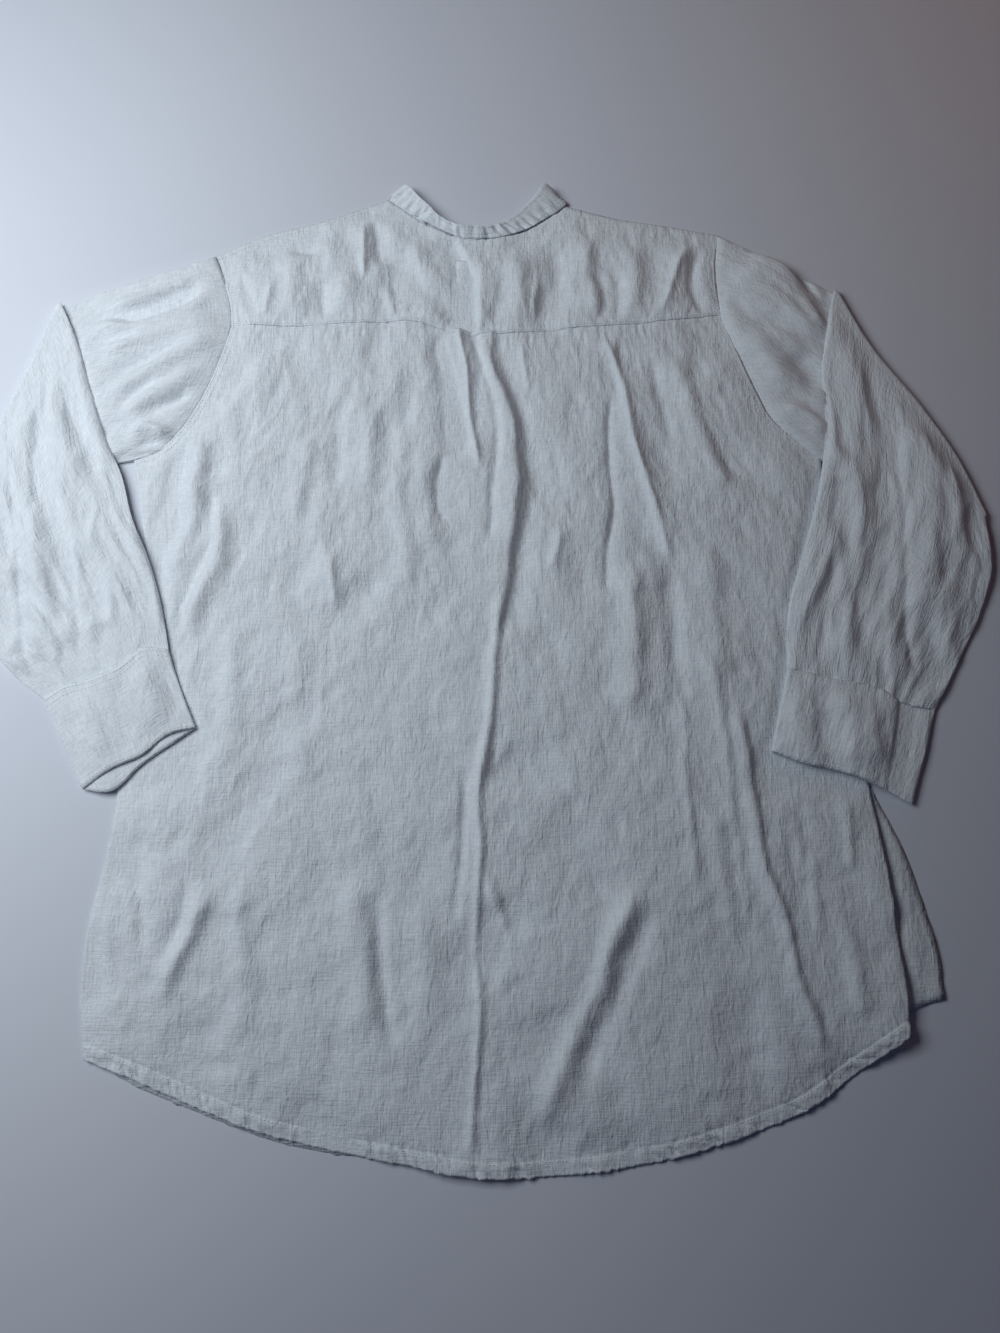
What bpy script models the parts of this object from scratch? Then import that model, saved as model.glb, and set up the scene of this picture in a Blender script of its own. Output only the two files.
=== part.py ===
"""Long-sleeved band-collar shirt laid flat on a table with its back upward.

Frame: metres, +Z up, collar toward +Y, the wearer's left sleeve toward -X.
The shirt rests on Z = 0 and the origin lies under the middle of its bounding box.
Lengths below are in millimetres and are turned to metres when a piece is made.

Each piece that a maker cuts is one closed solid with a cloth wall:
two fronts and a placket strip on the table, the back and its yoke on them, two
sleeves that each fold back over themselves, their cuffs, the collar band and the buttons.
"""

import math
from typing import NamedTuple

import bmesh
import bpy
import numpy as np

# Driving dimensions
MM = 0.001
WALL = 1.1  # cloth wall of every piece
LAYER_GAP = 0.4  # air between two cloth layers
SEAM_GAP = 0.3  # air between two pieces along a seam
TUBE_HEIGHT = 3.0  # height of a flattened sleeve
BEND_SLOT = 0.4  # air inside the turn of a folded sleeve
OUTER_DROP = 1.65  # how far the folded sleeve sinks beside the body
DROP_START = {-1: 288.0, 1: 326.0}  # distance from the middle at which it starts, by side
DROP_WIDTH = 26.0
PLACKET_WIDTH = 30.0
BUTTON_RADIUS = 5.5
BUTTON_HEIGHT = 1.4
BUTTON_BEVEL = 0.4
BUTTON_SEGMENTS = 12

# Heights of the middle of each layer
FRONT_Z = WALL / 2
BACK_Z = WALL + LAYER_GAP + WALL / 2
PLACKET_Z = BUTTON_HEIGHT + SEAM_GAP + WALL / 2
STAND_Z = PLACKET_Z + WALL + SEAM_GAP
CENTRE_SWELL = STAND_Z + WALL + SEAM_GAP - BACK_Z
SWELL_HALF = 20.0  # half width of the raised strip over the placket
SWELL_FALL = 28.0  # width over which it falls away
TUBE_MID = TUBE_HEIGHT / 2
TUBE_LAYER = TUBE_HEIGHT / 2 - WALL / 2  # from a tube's middle to each wall's middle
BEND_RADIUS = TUBE_HEIGHT / 2 + BEND_SLOT / 2
BEND_Z = TUBE_MID + BEND_RADIUS
LOWER_MID = TUBE_MID + 2 * BEND_RADIUS


class Point(NamedTuple):
    """One point of an outline in plan."""

    x: float
    y: float


class Fold(NamedTuple):
    """One soft ridge of cloth: three points along it, its half width and its height."""

    start: Point
    middle: Point
    end: Point
    width: float
    height: float


class Span(NamedTuple):
    """A run of evenly spaced grid lines between two shares of a panel."""

    start: float
    end: float
    steps: int


# Outlines of the back
HEM = (
    Point(-292, -333),
    Point(-251, -348),
    Point(-202, -368),
    Point(-164, -382),
    Point(-126, -392),
    Point(-52, -406),
    Point(8, -415),
    Point(81, -413),
    Point(126, -407),
    Point(171, -397),
    Point(216, -383),
    Point(247, -371),
    Point(294, -341),
    Point(330, -316),
)
YOKE_SEAM = (
    Point(-213, 274),
    Point(-154, 274),
    Point(-110, 277),
    Point(-48, 280),
    Point(-26, 274),
    Point(-4, 269),
    Point(18, 269),
    Point(75, 273),
    Point(146, 275),
    Point(199, 282),
    Point(217, 285),
)
SIDE_LEFT = (
    Point(-292, -333),
    Point(-298, -285),
    Point(-296, -235),
    Point(-286, -180),
    Point(-281, -127),
    Point(-275, -30),
    Point(-272, 60),
    Point(-275, 110),
    Point(-280, 149),
)
SIDE_RIGHT = (
    Point(330, -316),
    Point(331, -285),
    Point(327, -235),
    Point(322, -180),
    Point(316, -131),
    Point(306, -30),
    Point(298, 60),
    Point(296, 120),
    Point(296, 150),
)
# Armholes run from the shoulder point past the yoke seam to the armpit
ARMHOLE_LEFT_YOKE = (Point(-233, 343), Point(-224, 322), Point(-215, 292), Point(-213, 274))
ARMHOLE_LEFT_BACK = (
    Point(-213, 274),
    Point(-221, 244),
    Point(-237, 201),
    Point(-253, 174),
    Point(-266, 161),
    Point(-280, 149),
)
ARMHOLE_RIGHT_YOKE = (Point(219, 364), Point(214, 337), Point(214, 312), Point(217, 285))
ARMHOLE_RIGHT_BACK = (
    Point(217, 285),
    Point(228, 253),
    Point(244, 210),
    Point(255, 187),
    Point(275, 167),
    Point(296, 150),
)
SHOULDER_LEFT = (Point(-233, 343), Point(-186, 365), Point(-137, 379), Point(-79, 401))
SHOULDER_RIGHT = (Point(83, 394), Point(135, 380), Point(167, 375), Point(219, 364))
NECK_BACK = (
    Point(-79, 401),
    Point(-59, 385),
    Point(-41, 373),
    Point(-18, 361),
    Point(0, 358),
    Point(22, 360),
    Point(49, 370),
    Point(83, 394),
)
# The fronts' neckline dips below the back's, from each shoulder to the centre front
NECK_FRONT_LEFT = (
    Point(-79, 401),
    Point(-69, 370),
    Point(-57, 346),
    Point(-39, 326),
    Point(-20, 315),
    Point(13, 311),
)
NECK_FRONT_RIGHT = (
    Point(6.5, 311),
    Point(22, 315),
    Point(41, 326),
    Point(59, 345),
    Point(72, 368),
    Point(83, 394),
)
# The left front shows 4 mm of hem below the back's; the right one shows at its side
HEM_FRONT_LEFT = (
    Point(-291, -330),
    Point(-262, -348),
    Point(-202, -372),
    Point(-126, -396),
    Point(-85, -401),
    Point(-40, -402),
    Point(13, -409),
)
HEM_FRONT_RIGHT = (
    Point(6.5, -409),
    Point(81, -407),
    Point(150, -395),
    Point(216, -376),
    Point(280, -341),
    Point(333, -299),
    Point(361, -290),
)
SIDE_FRONT_LEFT = (
    Point(-291, -330),
    Point(-295, -285),
    Point(-293, -235),
    Point(-283, -180),
    Point(-279, -127),
    Point(-273, -30),
    Point(-270, 60),
    Point(-274, 110),
    Point(-280, 149),
)
SIDE_FRONT_RIGHT = (
    Point(361, -290),
    Point(360, -262),
    Point(352, -222),
    Point(340, -178),
    Point(320, -134),
    Point(302, -30),
    Point(296, 60),
    Point(295, 120),
    Point(296, 150),
)

# Sleeves: fold line from the tip to the outer end, then both edges down to the cuff
FOLD_LINE_LEFT = (
    Point(-367, 296),
    Point(-390, 228),
    Point(-404, 190),
    Point(-420, 130),
    Point(-424, 95),
)
INNER_LEFT = (
    Point(-367, 296),
    Point(-348, 263),
    Point(-329, 210),
    Point(-314, 168),
    Point(-297, 132),
    Point(-286, 96),
    Point(-270, 61),
    Point(-256, 20),
    Point(-247, -19),
)
OUTER_LEFT = (
    Point(-424, 95),
    Point(-420, 55),
    Point(-409, 14),
    Point(-390, -20),
    Point(-369, -42),
    Point(-347, -58),
)
CUFF_SEAM_LEFT = (
    Point(-247, -19),
    Point(-268, -18),
    Point(-286, -34),
    Point(-310, -43),
    Point(-330, -48),
    Point(-347, -58),
)
CUFF_INNER_LEFT = (Point(-247, -19), Point(-237, -46), Point(-221, -82))
CUFF_OUTER_LEFT = (Point(-347, -58), Point(-330, -92), Point(-309, -131))
MOUTH_UPPER_LEFT = (
    Point(-221, -82),
    Point(-243, -88),
    Point(-262, -104),
    Point(-286, -115),
    Point(-309, -131),
)
MOUTH_UNDER_LEFT = (
    Point(-221, -82),
    Point(-234, -91),
    Point(-262, -111),
    Point(-287, -133),
    Point(-309, -131),
)
FOLD_LINE_RIGHT = (
    Point(320, 309),
    Point(347, 253),
    Point(386, 196),
    Point(412, 150),
    Point(432, 98),
)
INNER_RIGHT = (
    Point(320, 309),
    Point(308, 273),
    Point(301, 230),
    Point(301, 180),
    Point(290, 118),
    Point(273, 61),
    Point(260, 20),
    Point(255, -34),
)
OUTER_RIGHT = (
    Point(432, 98),
    Point(430, 48),
    Point(418, 13),
    Point(402, -17),
    Point(385, -48),
    Point(373, -68),
)
CUFF_SEAM_RIGHT = (
    Point(255, -34),
    Point(291, -44),
    Point(324, -50),
    Point(347, -62),
    Point(373, -68),
)
CUFF_INNER_RIGHT = (Point(255, -34), Point(247, -66), Point(238, -101))
CUFF_OUTER_RIGHT = (Point(373, -68), Point(362, -104), Point(348, -143))
MOUTH_UPPER_RIGHT = (
    Point(238, -101),
    Point(263, -111),
    Point(290, -117),
    Point(316, -126),
    Point(348, -143),
)

# Folds of the back and yoke; the first three are the box pleat
BODY_FOLDS = (
    Fold(Point(10, 266), Point(30, 118), Point(14, -42), 8, 5.5),
    Fold(Point(12, -40), Point(7, -220), Point(6, -402), 6, 1.8),
    Fold(Point(-12, 266), Point(-8, 200), Point(0, 123), 6, 3.5),
    Fold(Point(110, 262), Point(128, 215), Point(136, 150), 10, 3.2),
    Fold(Point(80, 95), Point(73, 61), Point(58, 30), 8, 2.0),
    Fold(Point(205, 265), Point(222, 187), Point(236, 40), 9, 2.2),
    Fold(Point(213, -58), Point(235, -205), Point(269, -331), 11, 2.6),
    Fold(Point(196, -110), Point(210, -185), Point(222, -260), 9, 1.6),
    Fold(Point(138, -189), Point(100, -270), Point(45, -389), 12, 3.2),
    Fold(Point(-179, -163), Point(-212, -225), Point(-232, -280), 10, 2.6),
    Fold(Point(-95, -150), Point(-80, -250), Point(-66, -340), 12, 2.0),
    Fold(Point(-250, -150), Point(-242, -220), Point(-244, -300), 10, 2.0),
    Fold(Point(-226, 150), Point(-224, 60), Point(-226, -60), 11, 2.8),
    Fold(Point(-60, 140), Point(-80, 60), Point(-84, -20), 12, 1.6),
    Fold(Point(150, 60), Point(158, -20), Point(160, -110), 12, 1.6),
    Fold(Point(-150, 240), Point(-158, 150), Point(-150, 40), 12, 1.8),
    Fold(Point(-20, 352), Point(-2, 318), Point(1, 280), 9, 3.0),
    Fold(Point(172, 352), Point(160, 318), Point(152, 286), 13, 2.4),
    Fold(Point(-104, 372), Point(-98, 335), Point(-88, 290), 13, 2.2),
    Fold(Point(74, 370), Point(66, 330), Point(70, 286), 13, 1.6),
)
SLEEVE_FOLDS_LEFT = (
    Fold(Point(-372, 232), Point(-368, 160), Point(-346, 60), 9, 1.0),
    Fold(Point(-390, 120), Point(-376, 40), Point(-352, -20), 9, 0.9),
    Fold(Point(-322, 150), Point(-300, 80), Point(-280, 6), 9, 0.8),
)
SLEEVE_FOLDS_RIGHT = (
    Fold(Point(330, 232), Point(334, 130), Point(318, 0), 9, 1.0),
    Fold(Point(372, 180), Point(384, 90), Point(362, -20), 10, 1.0),
    Fold(Point(404, 120), Point(404, 60), Point(384, -10), 8, 0.8),
)
UNDERARM_BOW = 14.0  # how far the underarm edge bows toward the shoulder
PUFF = 1.5  # how far a sleeve's upper wall rises between its edges
CUFF_VALLEY = Fold(Point(350, -66), Point(346, -104), Point(330, -134), 7, -1.2)

# Grid lines as shares across and along each panel
BODY_ACROSS = (Span(0, 0.42, 11), Span(0.42, 0.60, 18), Span(0.60, 0.78, 7), Span(0.78, 1, 5))
ARMHOLE_YOKE_STEPS = 3
ARMHOLE_BACK_STEPS = 7
ARMPIT_LEVEL_BACK = 0.77
ARMPIT_LEVEL_FRONT = 0.66
BODY_ALONG = (
    Span(0, 0.06, 2),
    Span(0.06, ARMPIT_LEVEL_BACK, 20),
    Span(ARMPIT_LEVEL_BACK, 1, ARMHOLE_BACK_STEPS),
)
YOKE_ALONG = (Span(0, 1, 2 * ARMHOLE_YOKE_STEPS),)
FRONT_ALONG = (
    Span(0, 0.06, 2),
    Span(0.06, ARMPIT_LEVEL_FRONT, 7),
    Span(ARMPIT_LEVEL_FRONT, 1, ARMHOLE_YOKE_STEPS + ARMHOLE_BACK_STEPS),
)
TUBE_EDGE = 0.014  # share of a sleeve's width taken by each rounded edge
UPPER_STATIONS = (Span(0, 1, 6),)
LOWER_STATIONS = (Span(0, 1, 15),)
CUFF_STATIONS = (Span(0, 1, 5),)
BEND_STEPS = 6

FRONT_LEFT_TOP = (-233.0, -195.0, -157.0, -118.0, -79.0, -69.0, -57.0, -39.0, -24.0)
FRONT_RIGHT_TOP = (6.5, 14.0, 22.0, 31.0, 41.0, 50.0, 59.0, 72.0, 83.0, 125.0, 170.0, 219.0)
STAND_STATIONS = (-20.0, -16.0, -8.0, 2.0, 13.0)
BUTTON_LEVELS = (290.0, 210.0, 130.0, 50.0, -30.0, -110.0, -190.0)
COLLAR_BUTTON_LEVEL = 323.0
CUFF_BUTTON_LEFT = Point(-318, -86)
CUFF_BUTTON_RIGHT = Point(346, -98)

LINEN_COLOUR = (0.80, 0.83, 0.84, 1.0)
BUTTON_COLOUR = (0.86, 0.85, 0.80, 1.0)


def stations(spans):
    """Shares at which the grid lines of a panel lie."""
    runs = [np.linspace(span.start, span.end, span.steps, endpoint=False) for span in spans]
    return np.concatenate([*runs, [spans[-1].end]])


def through(knots, rows, places):
    """Smooth values through the rows of a table, read at the given places."""
    knots = np.asarray(knots, dtype=float)
    rows = np.asarray(rows, dtype=float)
    places = np.asarray(places, dtype=float)
    slopes = np.gradient(rows, knots, axis=0)
    index = np.clip(np.searchsorted(knots, places, side="right") - 1, 0, len(knots) - 2)
    step = (knots[index + 1] - knots[index])[:, None]
    t = (places[:, None] - knots[index][:, None]) / step
    start = (2 * t**3 - 3 * t**2 + 1) * rows[index]
    end = (3 * t**2 - 2 * t**3) * rows[index + 1]
    lean_start = (t**3 - 2 * t**2 + t) * step * slopes[index]
    lean_end = (t**3 - t**2) * step * slopes[index + 1]
    return start + end + lean_start + lean_end


def along(line, shares):
    """Points at shares of the length of a smooth line through the table's points."""
    rows = np.asarray(line, dtype=float)
    steps = np.linalg.norm(np.diff(rows[:, :2], axis=0), axis=1)
    knots = np.concatenate([[0.0], np.cumsum(steps)]) / steps.sum()
    return through(knots, rows, shares)


def by_x(lines, places):
    """Points of lines that run one after another in X, at the given X."""
    places = np.asarray(places, dtype=float)
    result = np.stack([places, np.zeros_like(places)], axis=1)
    for line in lines:
        rows = np.asarray(line, dtype=float)
        chosen = (places >= rows[0, 0] - 1e-6) & (places <= rows[-1, 0] + 1e-6)
        if chosen.any():
            result[chosen, 1:] = through(rows[:, 0], rows[:, 1:], places[chosen])
    return result


def patch(bottom, top, left, right, across, up):
    """Plan grid filled between four edges, first index across and second index up."""
    u = np.asarray(across)[:, None, None]
    v = np.asarray(up)[None, :, None]
    rows = (1 - v) * bottom[:, None, :] + v * top[:, None, :]
    columns = (1 - u) * left[None, :, :] + u * right[None, :, :]
    low = (1 - u) * bottom[0] + u * bottom[-1]
    high = (1 - u) * top[0] + u * top[-1]
    return rows + columns - (1 - v) * low - v * high


def smooth_step(value):
    """Soft change from 0 to 1 as the value goes from 0 to 1."""
    t = np.clip(value, 0, 1)
    return t * t * (3 - 2 * t)


def fold_heights(folds, plan):
    """Height that a table of folds adds at each plan point."""
    total = np.zeros(plan.shape[:-1])
    shares = np.linspace(0, 1, 25)
    for fold in folds:
        path = through([0, 0.5, 1], [fold.start, fold.middle, fold.end], shares)
        apart = np.linalg.norm(plan[..., None, :] - path, axis=-1)
        nearest = apart.argmin(axis=-1)
        fade = smooth_step(5 * shares[nearest] + 0.25) * smooth_step(5 * (1 - shares[nearest]) + 0.25)
        total += fold.height * fade * np.exp(-((apart.min(axis=-1) / fold.width) ** 2))
    return total


def sleeve_shelter(plan):
    """Share of the folds kept at each plan point: none under the folded sleeves."""
    y = plan[..., 1]
    edges = []
    for inner, cuff in ((INNER_LEFT, CUFF_INNER_LEFT), (INNER_RIGHT, CUFF_INNER_RIGHT)):
        rows = np.asarray([*inner, *cuff[1:]], dtype=float)[::-1]
        edges.append(np.interp(y, rows[:, 1], rows[:, 0]))
    inside = np.minimum(plan[..., 0] - edges[0], edges[1] - plan[..., 0])
    low = min(MOUTH_UNDER_LEFT[-1].y, MOUTH_UPPER_RIGHT[-1].y)
    clear = smooth_step((inside - 8) / 14)
    return np.maximum(clear, smooth_step((low - 12 - y) / 24))


def centre_swell(x):
    """Rise of the back where the placket and the button stand lie under it."""
    return CENTRE_SWELL * smooth_step((SWELL_HALF + SWELL_FALL - np.abs(x)) / SWELL_FALL)


def back_surface(plan):
    """Middle surface of the back or yoke over plan points."""
    height = BACK_Z + centre_swell(plan[..., 0])
    height = height + fold_heights(BODY_FOLDS, plan) * sleeve_shelter(plan)
    return np.concatenate([plan, height[..., None]], axis=-1)


def cloth_piece(name, grid, ring):
    """Cloth object in metres about a grid of middle points; a ring closes on itself."""
    count_u, count_v = grid.shape[:2]
    cells_v = count_v if ring else count_v - 1
    mesh = bpy.data.meshes.new(name)
    verts = (grid.reshape(-1, 3) * MM).tolist()
    faces = []
    for i in range(count_u - 1):
        for j in range(cells_v):
            beyond = (j + 1) % count_v
            low = i * count_v
            high = low + count_v
            faces.append((low + j, high + j, high + beyond, low + beyond))
    mesh.from_pydata(verts, [], faces)
    mesh.shade_smooth()
    mesh.materials.append(make_material(name + "_linen", LINEN_COLOUR, 0.85))
    piece = bpy.data.objects.new(name, mesh)
    bpy.context.scene.collection.objects.link(piece)
    wall = piece.modifiers.new("cloth_wall", "SOLIDIFY")
    wall.thickness = WALL * MM
    wall.offset = 0.0
    return piece


def sheet_solid(name, grid):
    """Cloth panel with a wall, from an open grid of middle points."""
    return cloth_piece(name, grid, False)


def tube_solid(name, rings):
    """Cloth tube with a wall, open at both ends, from rings of middle points."""
    return cloth_piece(name, rings, True)


def moved_out(line, distance):
    """Plan line moved sideways to the left of its direction by a distance."""
    tangent = np.gradient(line, axis=0)
    tangent /= np.linalg.norm(tangent, axis=1, keepdims=True)
    return line + distance * np.stack([-tangent[:, 1], tangent[:, 0]], axis=1)


def at_steps(points, shares):
    """Points on straight runs between evenly numbered points."""
    places = np.asarray(shares) * (len(points) - 1)
    numbers = np.arange(len(points))
    return np.column_stack([np.interp(places, numbers, points[:, axis]) for axis in (0, 1)])


def armhole_points(yoke_line, back_line):
    """Armhole from the shoulder point to the armpit as the points its pieces share."""
    yoke = along(yoke_line, np.linspace(0, 1, ARMHOLE_YOKE_STEPS + 1))
    back = along(back_line, np.linspace(0, 1, ARMHOLE_BACK_STEPS + 1))
    return np.concatenate([yoke, back[1:]])


def side_edge(side_line, armhole, armpit_level, up):
    """Side of a panel from the hem to the armpit and on up the armhole."""
    low = up <= armpit_level
    side = along(side_line, up[low] / armpit_level)
    hole = at_steps(armhole[::-1], (up[~low] - armpit_level) / (1 - armpit_level))
    return np.concatenate([side, hole])


def make_back():
    """Back panel below the yoke, with the pleat and the folds."""
    across = stations(BODY_ACROSS)
    up = stations(BODY_ALONG)
    hem = by_x([HEM], HEM[0].x + across * (HEM[-1].x - HEM[0].x))
    seam = by_x([YOKE_SEAM], YOKE_SEAM[0].x + across * (YOKE_SEAM[-1].x - YOKE_SEAM[0].x))
    hole_left = armhole_points(ARMHOLE_LEFT_YOKE, ARMHOLE_LEFT_BACK)[ARMHOLE_YOKE_STEPS:]
    hole_right = armhole_points(ARMHOLE_RIGHT_YOKE, ARMHOLE_RIGHT_BACK)[ARMHOLE_YOKE_STEPS:]
    left = side_edge(SIDE_LEFT, hole_left, ARMPIT_LEVEL_BACK, up)
    right = side_edge(SIDE_RIGHT, hole_right, ARMPIT_LEVEL_BACK, up)
    plan = patch(hem, seam, left, right, across, up)
    plan[:, -1, 1] -= SEAM_GAP / 2
    return sheet_solid("back", back_surface(plan))


def make_yoke():
    """Yoke from the seam over the back to the shoulders and the neck."""
    across = stations(BODY_ACROSS)
    low_x = YOKE_SEAM[0].x + across * (YOKE_SEAM[-1].x - YOKE_SEAM[0].x)
    top_x = SHOULDER_LEFT[0].x + across * (SHOULDER_RIGHT[-1].x - SHOULDER_LEFT[0].x)
    for corner in (SHOULDER_LEFT[-1].x, SHOULDER_RIGHT[0].x):
        top_x[np.abs(top_x - corner).argmin()] = corner
    seam = by_x([YOKE_SEAM], low_x)
    top = by_x([SHOULDER_LEFT, NECK_BACK, SHOULDER_RIGHT], top_x)
    up = stations(YOKE_ALONG)
    hole_left = armhole_points(ARMHOLE_LEFT_YOKE, ARMHOLE_LEFT_BACK)[: ARMHOLE_YOKE_STEPS + 1]
    hole_right = armhole_points(ARMHOLE_RIGHT_YOKE, ARMHOLE_RIGHT_BACK)[: ARMHOLE_YOKE_STEPS + 1]
    left = at_steps(hole_left[::-1], up)
    right = at_steps(hole_right[::-1], up)
    plan = patch(seam, top, left, right, across, up)
    plan[:, 0, 1] += SEAM_GAP / 2
    return sheet_solid("yoke", back_surface(plan))


def make_front_left():
    """The wearer's left front with its button stand above the placket."""
    share = np.linspace(0, 1, len(FRONT_LEFT_TOP))
    up = stations(FRONT_ALONG)
    hem_x = HEM_FRONT_LEFT[0].x + share * (FRONT_LEFT_TOP[-1] - HEM_FRONT_LEFT[0].x)
    hem = by_x([HEM_FRONT_LEFT], hem_x)
    top = by_x([SHOULDER_LEFT, NECK_FRONT_LEFT], FRONT_LEFT_TOP)
    armhole = armhole_points(ARMHOLE_LEFT_YOKE, ARMHOLE_LEFT_BACK)
    left = side_edge(SIDE_FRONT_LEFT, armhole, ARMPIT_LEVEL_FRONT, up)
    right = hem[-1] + up[:, None] * (top[-1] - hem[-1])
    plan = patch(hem, top, left, right, share, up)
    low = by_x([HEM_FRONT_LEFT], STAND_STATIONS)[:, None, :]
    high = by_x([NECK_FRONT_LEFT], STAND_STATIONS)[:, None, :]
    stand = low + up[None, :, None] * (high - low)
    plan = np.concatenate([plan, stand])
    climb = smooth_step((plan[..., 0] - FRONT_LEFT_TOP[-1]) / (STAND_STATIONS[1] - FRONT_LEFT_TOP[-1]))
    height = FRONT_Z + (STAND_Z - FRONT_Z) * climb
    return sheet_solid("front_left", np.concatenate([plan, height[..., None]], axis=-1))


def make_front_right():
    """The wearer's right front, which shows beside the back at the hem."""
    share = np.linspace(0, 1, len(FRONT_RIGHT_TOP))
    up = stations(FRONT_ALONG)
    hem_x = HEM_FRONT_RIGHT[0].x + share * (HEM_FRONT_RIGHT[-1].x - HEM_FRONT_RIGHT[0].x)
    hem = by_x([HEM_FRONT_RIGHT], hem_x)
    top = by_x([NECK_FRONT_RIGHT, SHOULDER_RIGHT], FRONT_RIGHT_TOP)
    armhole = armhole_points(ARMHOLE_RIGHT_YOKE, ARMHOLE_RIGHT_BACK)
    right = side_edge(SIDE_FRONT_RIGHT, armhole, ARMPIT_LEVEL_FRONT, up)
    left = hem[0] + up[:, None] * (top[0] - hem[0])
    plan = patch(hem, top, left, right, share, up)
    height = np.full(plan.shape[:-1], FRONT_Z)
    return sheet_solid("front_right", np.concatenate([plan, height[..., None]], axis=-1))


def make_placket():
    """Placket strip over the front buttons, from the hem to the neck."""
    across = np.linspace(-PLACKET_WIDTH / 2, PLACKET_WIDTH / 2, 3)
    up = np.linspace(HEM_FRONT_RIGHT[0].y + 1, NECK_FRONT_RIGHT[0].y - 0.5, 13)
    grid = np.zeros((len(across), len(up), 3))
    grid[..., 0] = across[:, None]
    grid[..., 1] = up[None, :]
    grid[..., 2] = PLACKET_Z
    return sheet_solid("placket", grid)


def ring_of(inner_layer, outer_layer, start_edge, end_edge):
    """Closed ring: one edge, the inner layer, the other edge, the outer layer back."""
    return np.concatenate([start_edge[None], inner_layer, end_edge[None], outer_layer[::-1]])


def outer_drop(plan, side):
    """How far the lower sleeve sinks beside the body toward the table."""
    beyond = side * plan[..., 0] - DROP_START[side]
    return OUTER_DROP * smooth_step(beyond / DROP_WIDTH) * smooth_step((80 - plan[..., 1]) / 70)


def layered_rings(plan, edge_plan, lift, rise):
    """Rings of a flattened tube that lies level: plan grid, edges, middle height, rise."""
    rings = []
    for s in range(plan.shape[1]):
        middle = lift(plan[:, s])
        low = np.column_stack([plan[:, s], middle - TUBE_LAYER])
        high = np.column_stack([plan[:, s], middle + TUBE_LAYER + rise(plan[:, s])])
        ends = edge_plan[:, s]
        ends = np.column_stack([ends, lift(ends)])
        rings.append((low, high, ends))
    return rings


def tube_widths(armhole):
    """Shares of a sleeve's width at which its lines run, one for each armhole point."""
    steps = np.linalg.norm(np.diff(armhole, axis=0), axis=1)
    shares = np.concatenate([[0.0], np.cumsum(steps)]) / steps.sum()
    return np.concatenate([[0.0, TUBE_EDGE], shares[1:-1], [1 - TUBE_EDGE, 1.0]])


def sleeve_rings(side, armhole, fold_line, inner, outer, cuff_seam, folds):
    """Rings of one sleeve from the armhole, round its fold, down to the cuff."""
    widths = tube_widths(armhole)
    upper_s = stations(UPPER_STATIONS)
    lower_s = stations(LOWER_STATIONS)
    apart = np.full(len(armhole), SEAM_GAP + 0.25)
    apart[-1] += WALL
    crown = moved_out(armhole, side * apart[:, None])
    near = (crown[:2], crown[-1:-3:-1])
    edges = [pair[0] + (pair[1] - pair[0]) * TUBE_EDGE * 5 for pair in near]
    crown = np.concatenate([crown[:1], edges[:1], crown[1:-1], edges[1:], crown[-1:]])
    fold_edge = along(fold_line, widths)
    fold_way = fold_edge[-1] - fold_edge[0]
    outward = side * np.array([-fold_way[1], fold_way[0]]) / np.linalg.norm(fold_way)
    inset = BEND_RADIUS + TUBE_HEIGHT / 2
    turn = fold_edge - inset * outward
    end = along(cuff_seam, widths)
    back_way = fold_edge - end
    end_in = end + (SEAM_GAP / 2) * back_way / np.linalg.norm(back_way, axis=1, keepdims=True)
    top_line = along((crown[0], turn[0]), upper_s)
    bow = (crown[-1] + turn[-1]) / 2 + (0, UNDERARM_BOW)
    under_line = along((crown[-1], bow, turn[-1]), upper_s)
    upper = patch(crown, turn, top_line, under_line, widths, upper_s)
    inner_line = along((turn[0], *inner[1:-1], end_in[0]), lower_s)
    outer_line = along((turn[-1], *outer[1:-1], end_in[-1]), lower_s)
    lower = patch(turn, end_in, inner_line, outer_line, widths, lower_s)

    def rise(plan):
        share = np.linspace(0, 1, len(plan))
        return PUFF * np.sin(math.pi * share) ** 0.7 + fold_heights(folds, plan)

    def rise_upper(plan):
        return np.zeros(len(plan))

    def lift_upper(plan):
        return np.full(len(plan), TUBE_MID)

    def lift_lower(plan):
        return LOWER_MID - outer_drop(plan, side)

    rings = []
    for low, high, ends in layered_rings(upper[1:-1], upper[[0, -1]], lift_upper, rise_upper):
        rings.append(ring_of(high, low, ends[0], ends[1]))
    for angle in np.linspace(-math.pi / 2, math.pi / 2, BEND_STEPS + 1)[1:-1]:
        way = np.array([outward[0] * math.cos(angle), outward[1] * math.cos(angle), math.sin(angle)])
        centre = np.column_stack([turn, np.full(len(turn), BEND_Z)])
        near = centre[1:-1] + way * (BEND_RADIUS - TUBE_LAYER)
        far = centre[1:-1] + way * (BEND_RADIUS + TUBE_LAYER)
        edges = centre[[0, -1]] + way * BEND_RADIUS
        rings.append(ring_of(near, far, edges[0], edges[1]))
    fade = smooth_step(lower_s * 6)
    layers = layered_rings(lower[1:-1], lower[[0, -1]], lift_lower, rise)
    for share, (low, high, ends) in zip(fade, layers):
        level = low[:, 2] + 2 * TUBE_LAYER
        high[:, 2] = level + share * (high[:, 2] - level)
        rings.append(ring_of(low, high, ends[0], ends[1]))
    return np.array(rings)


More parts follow.
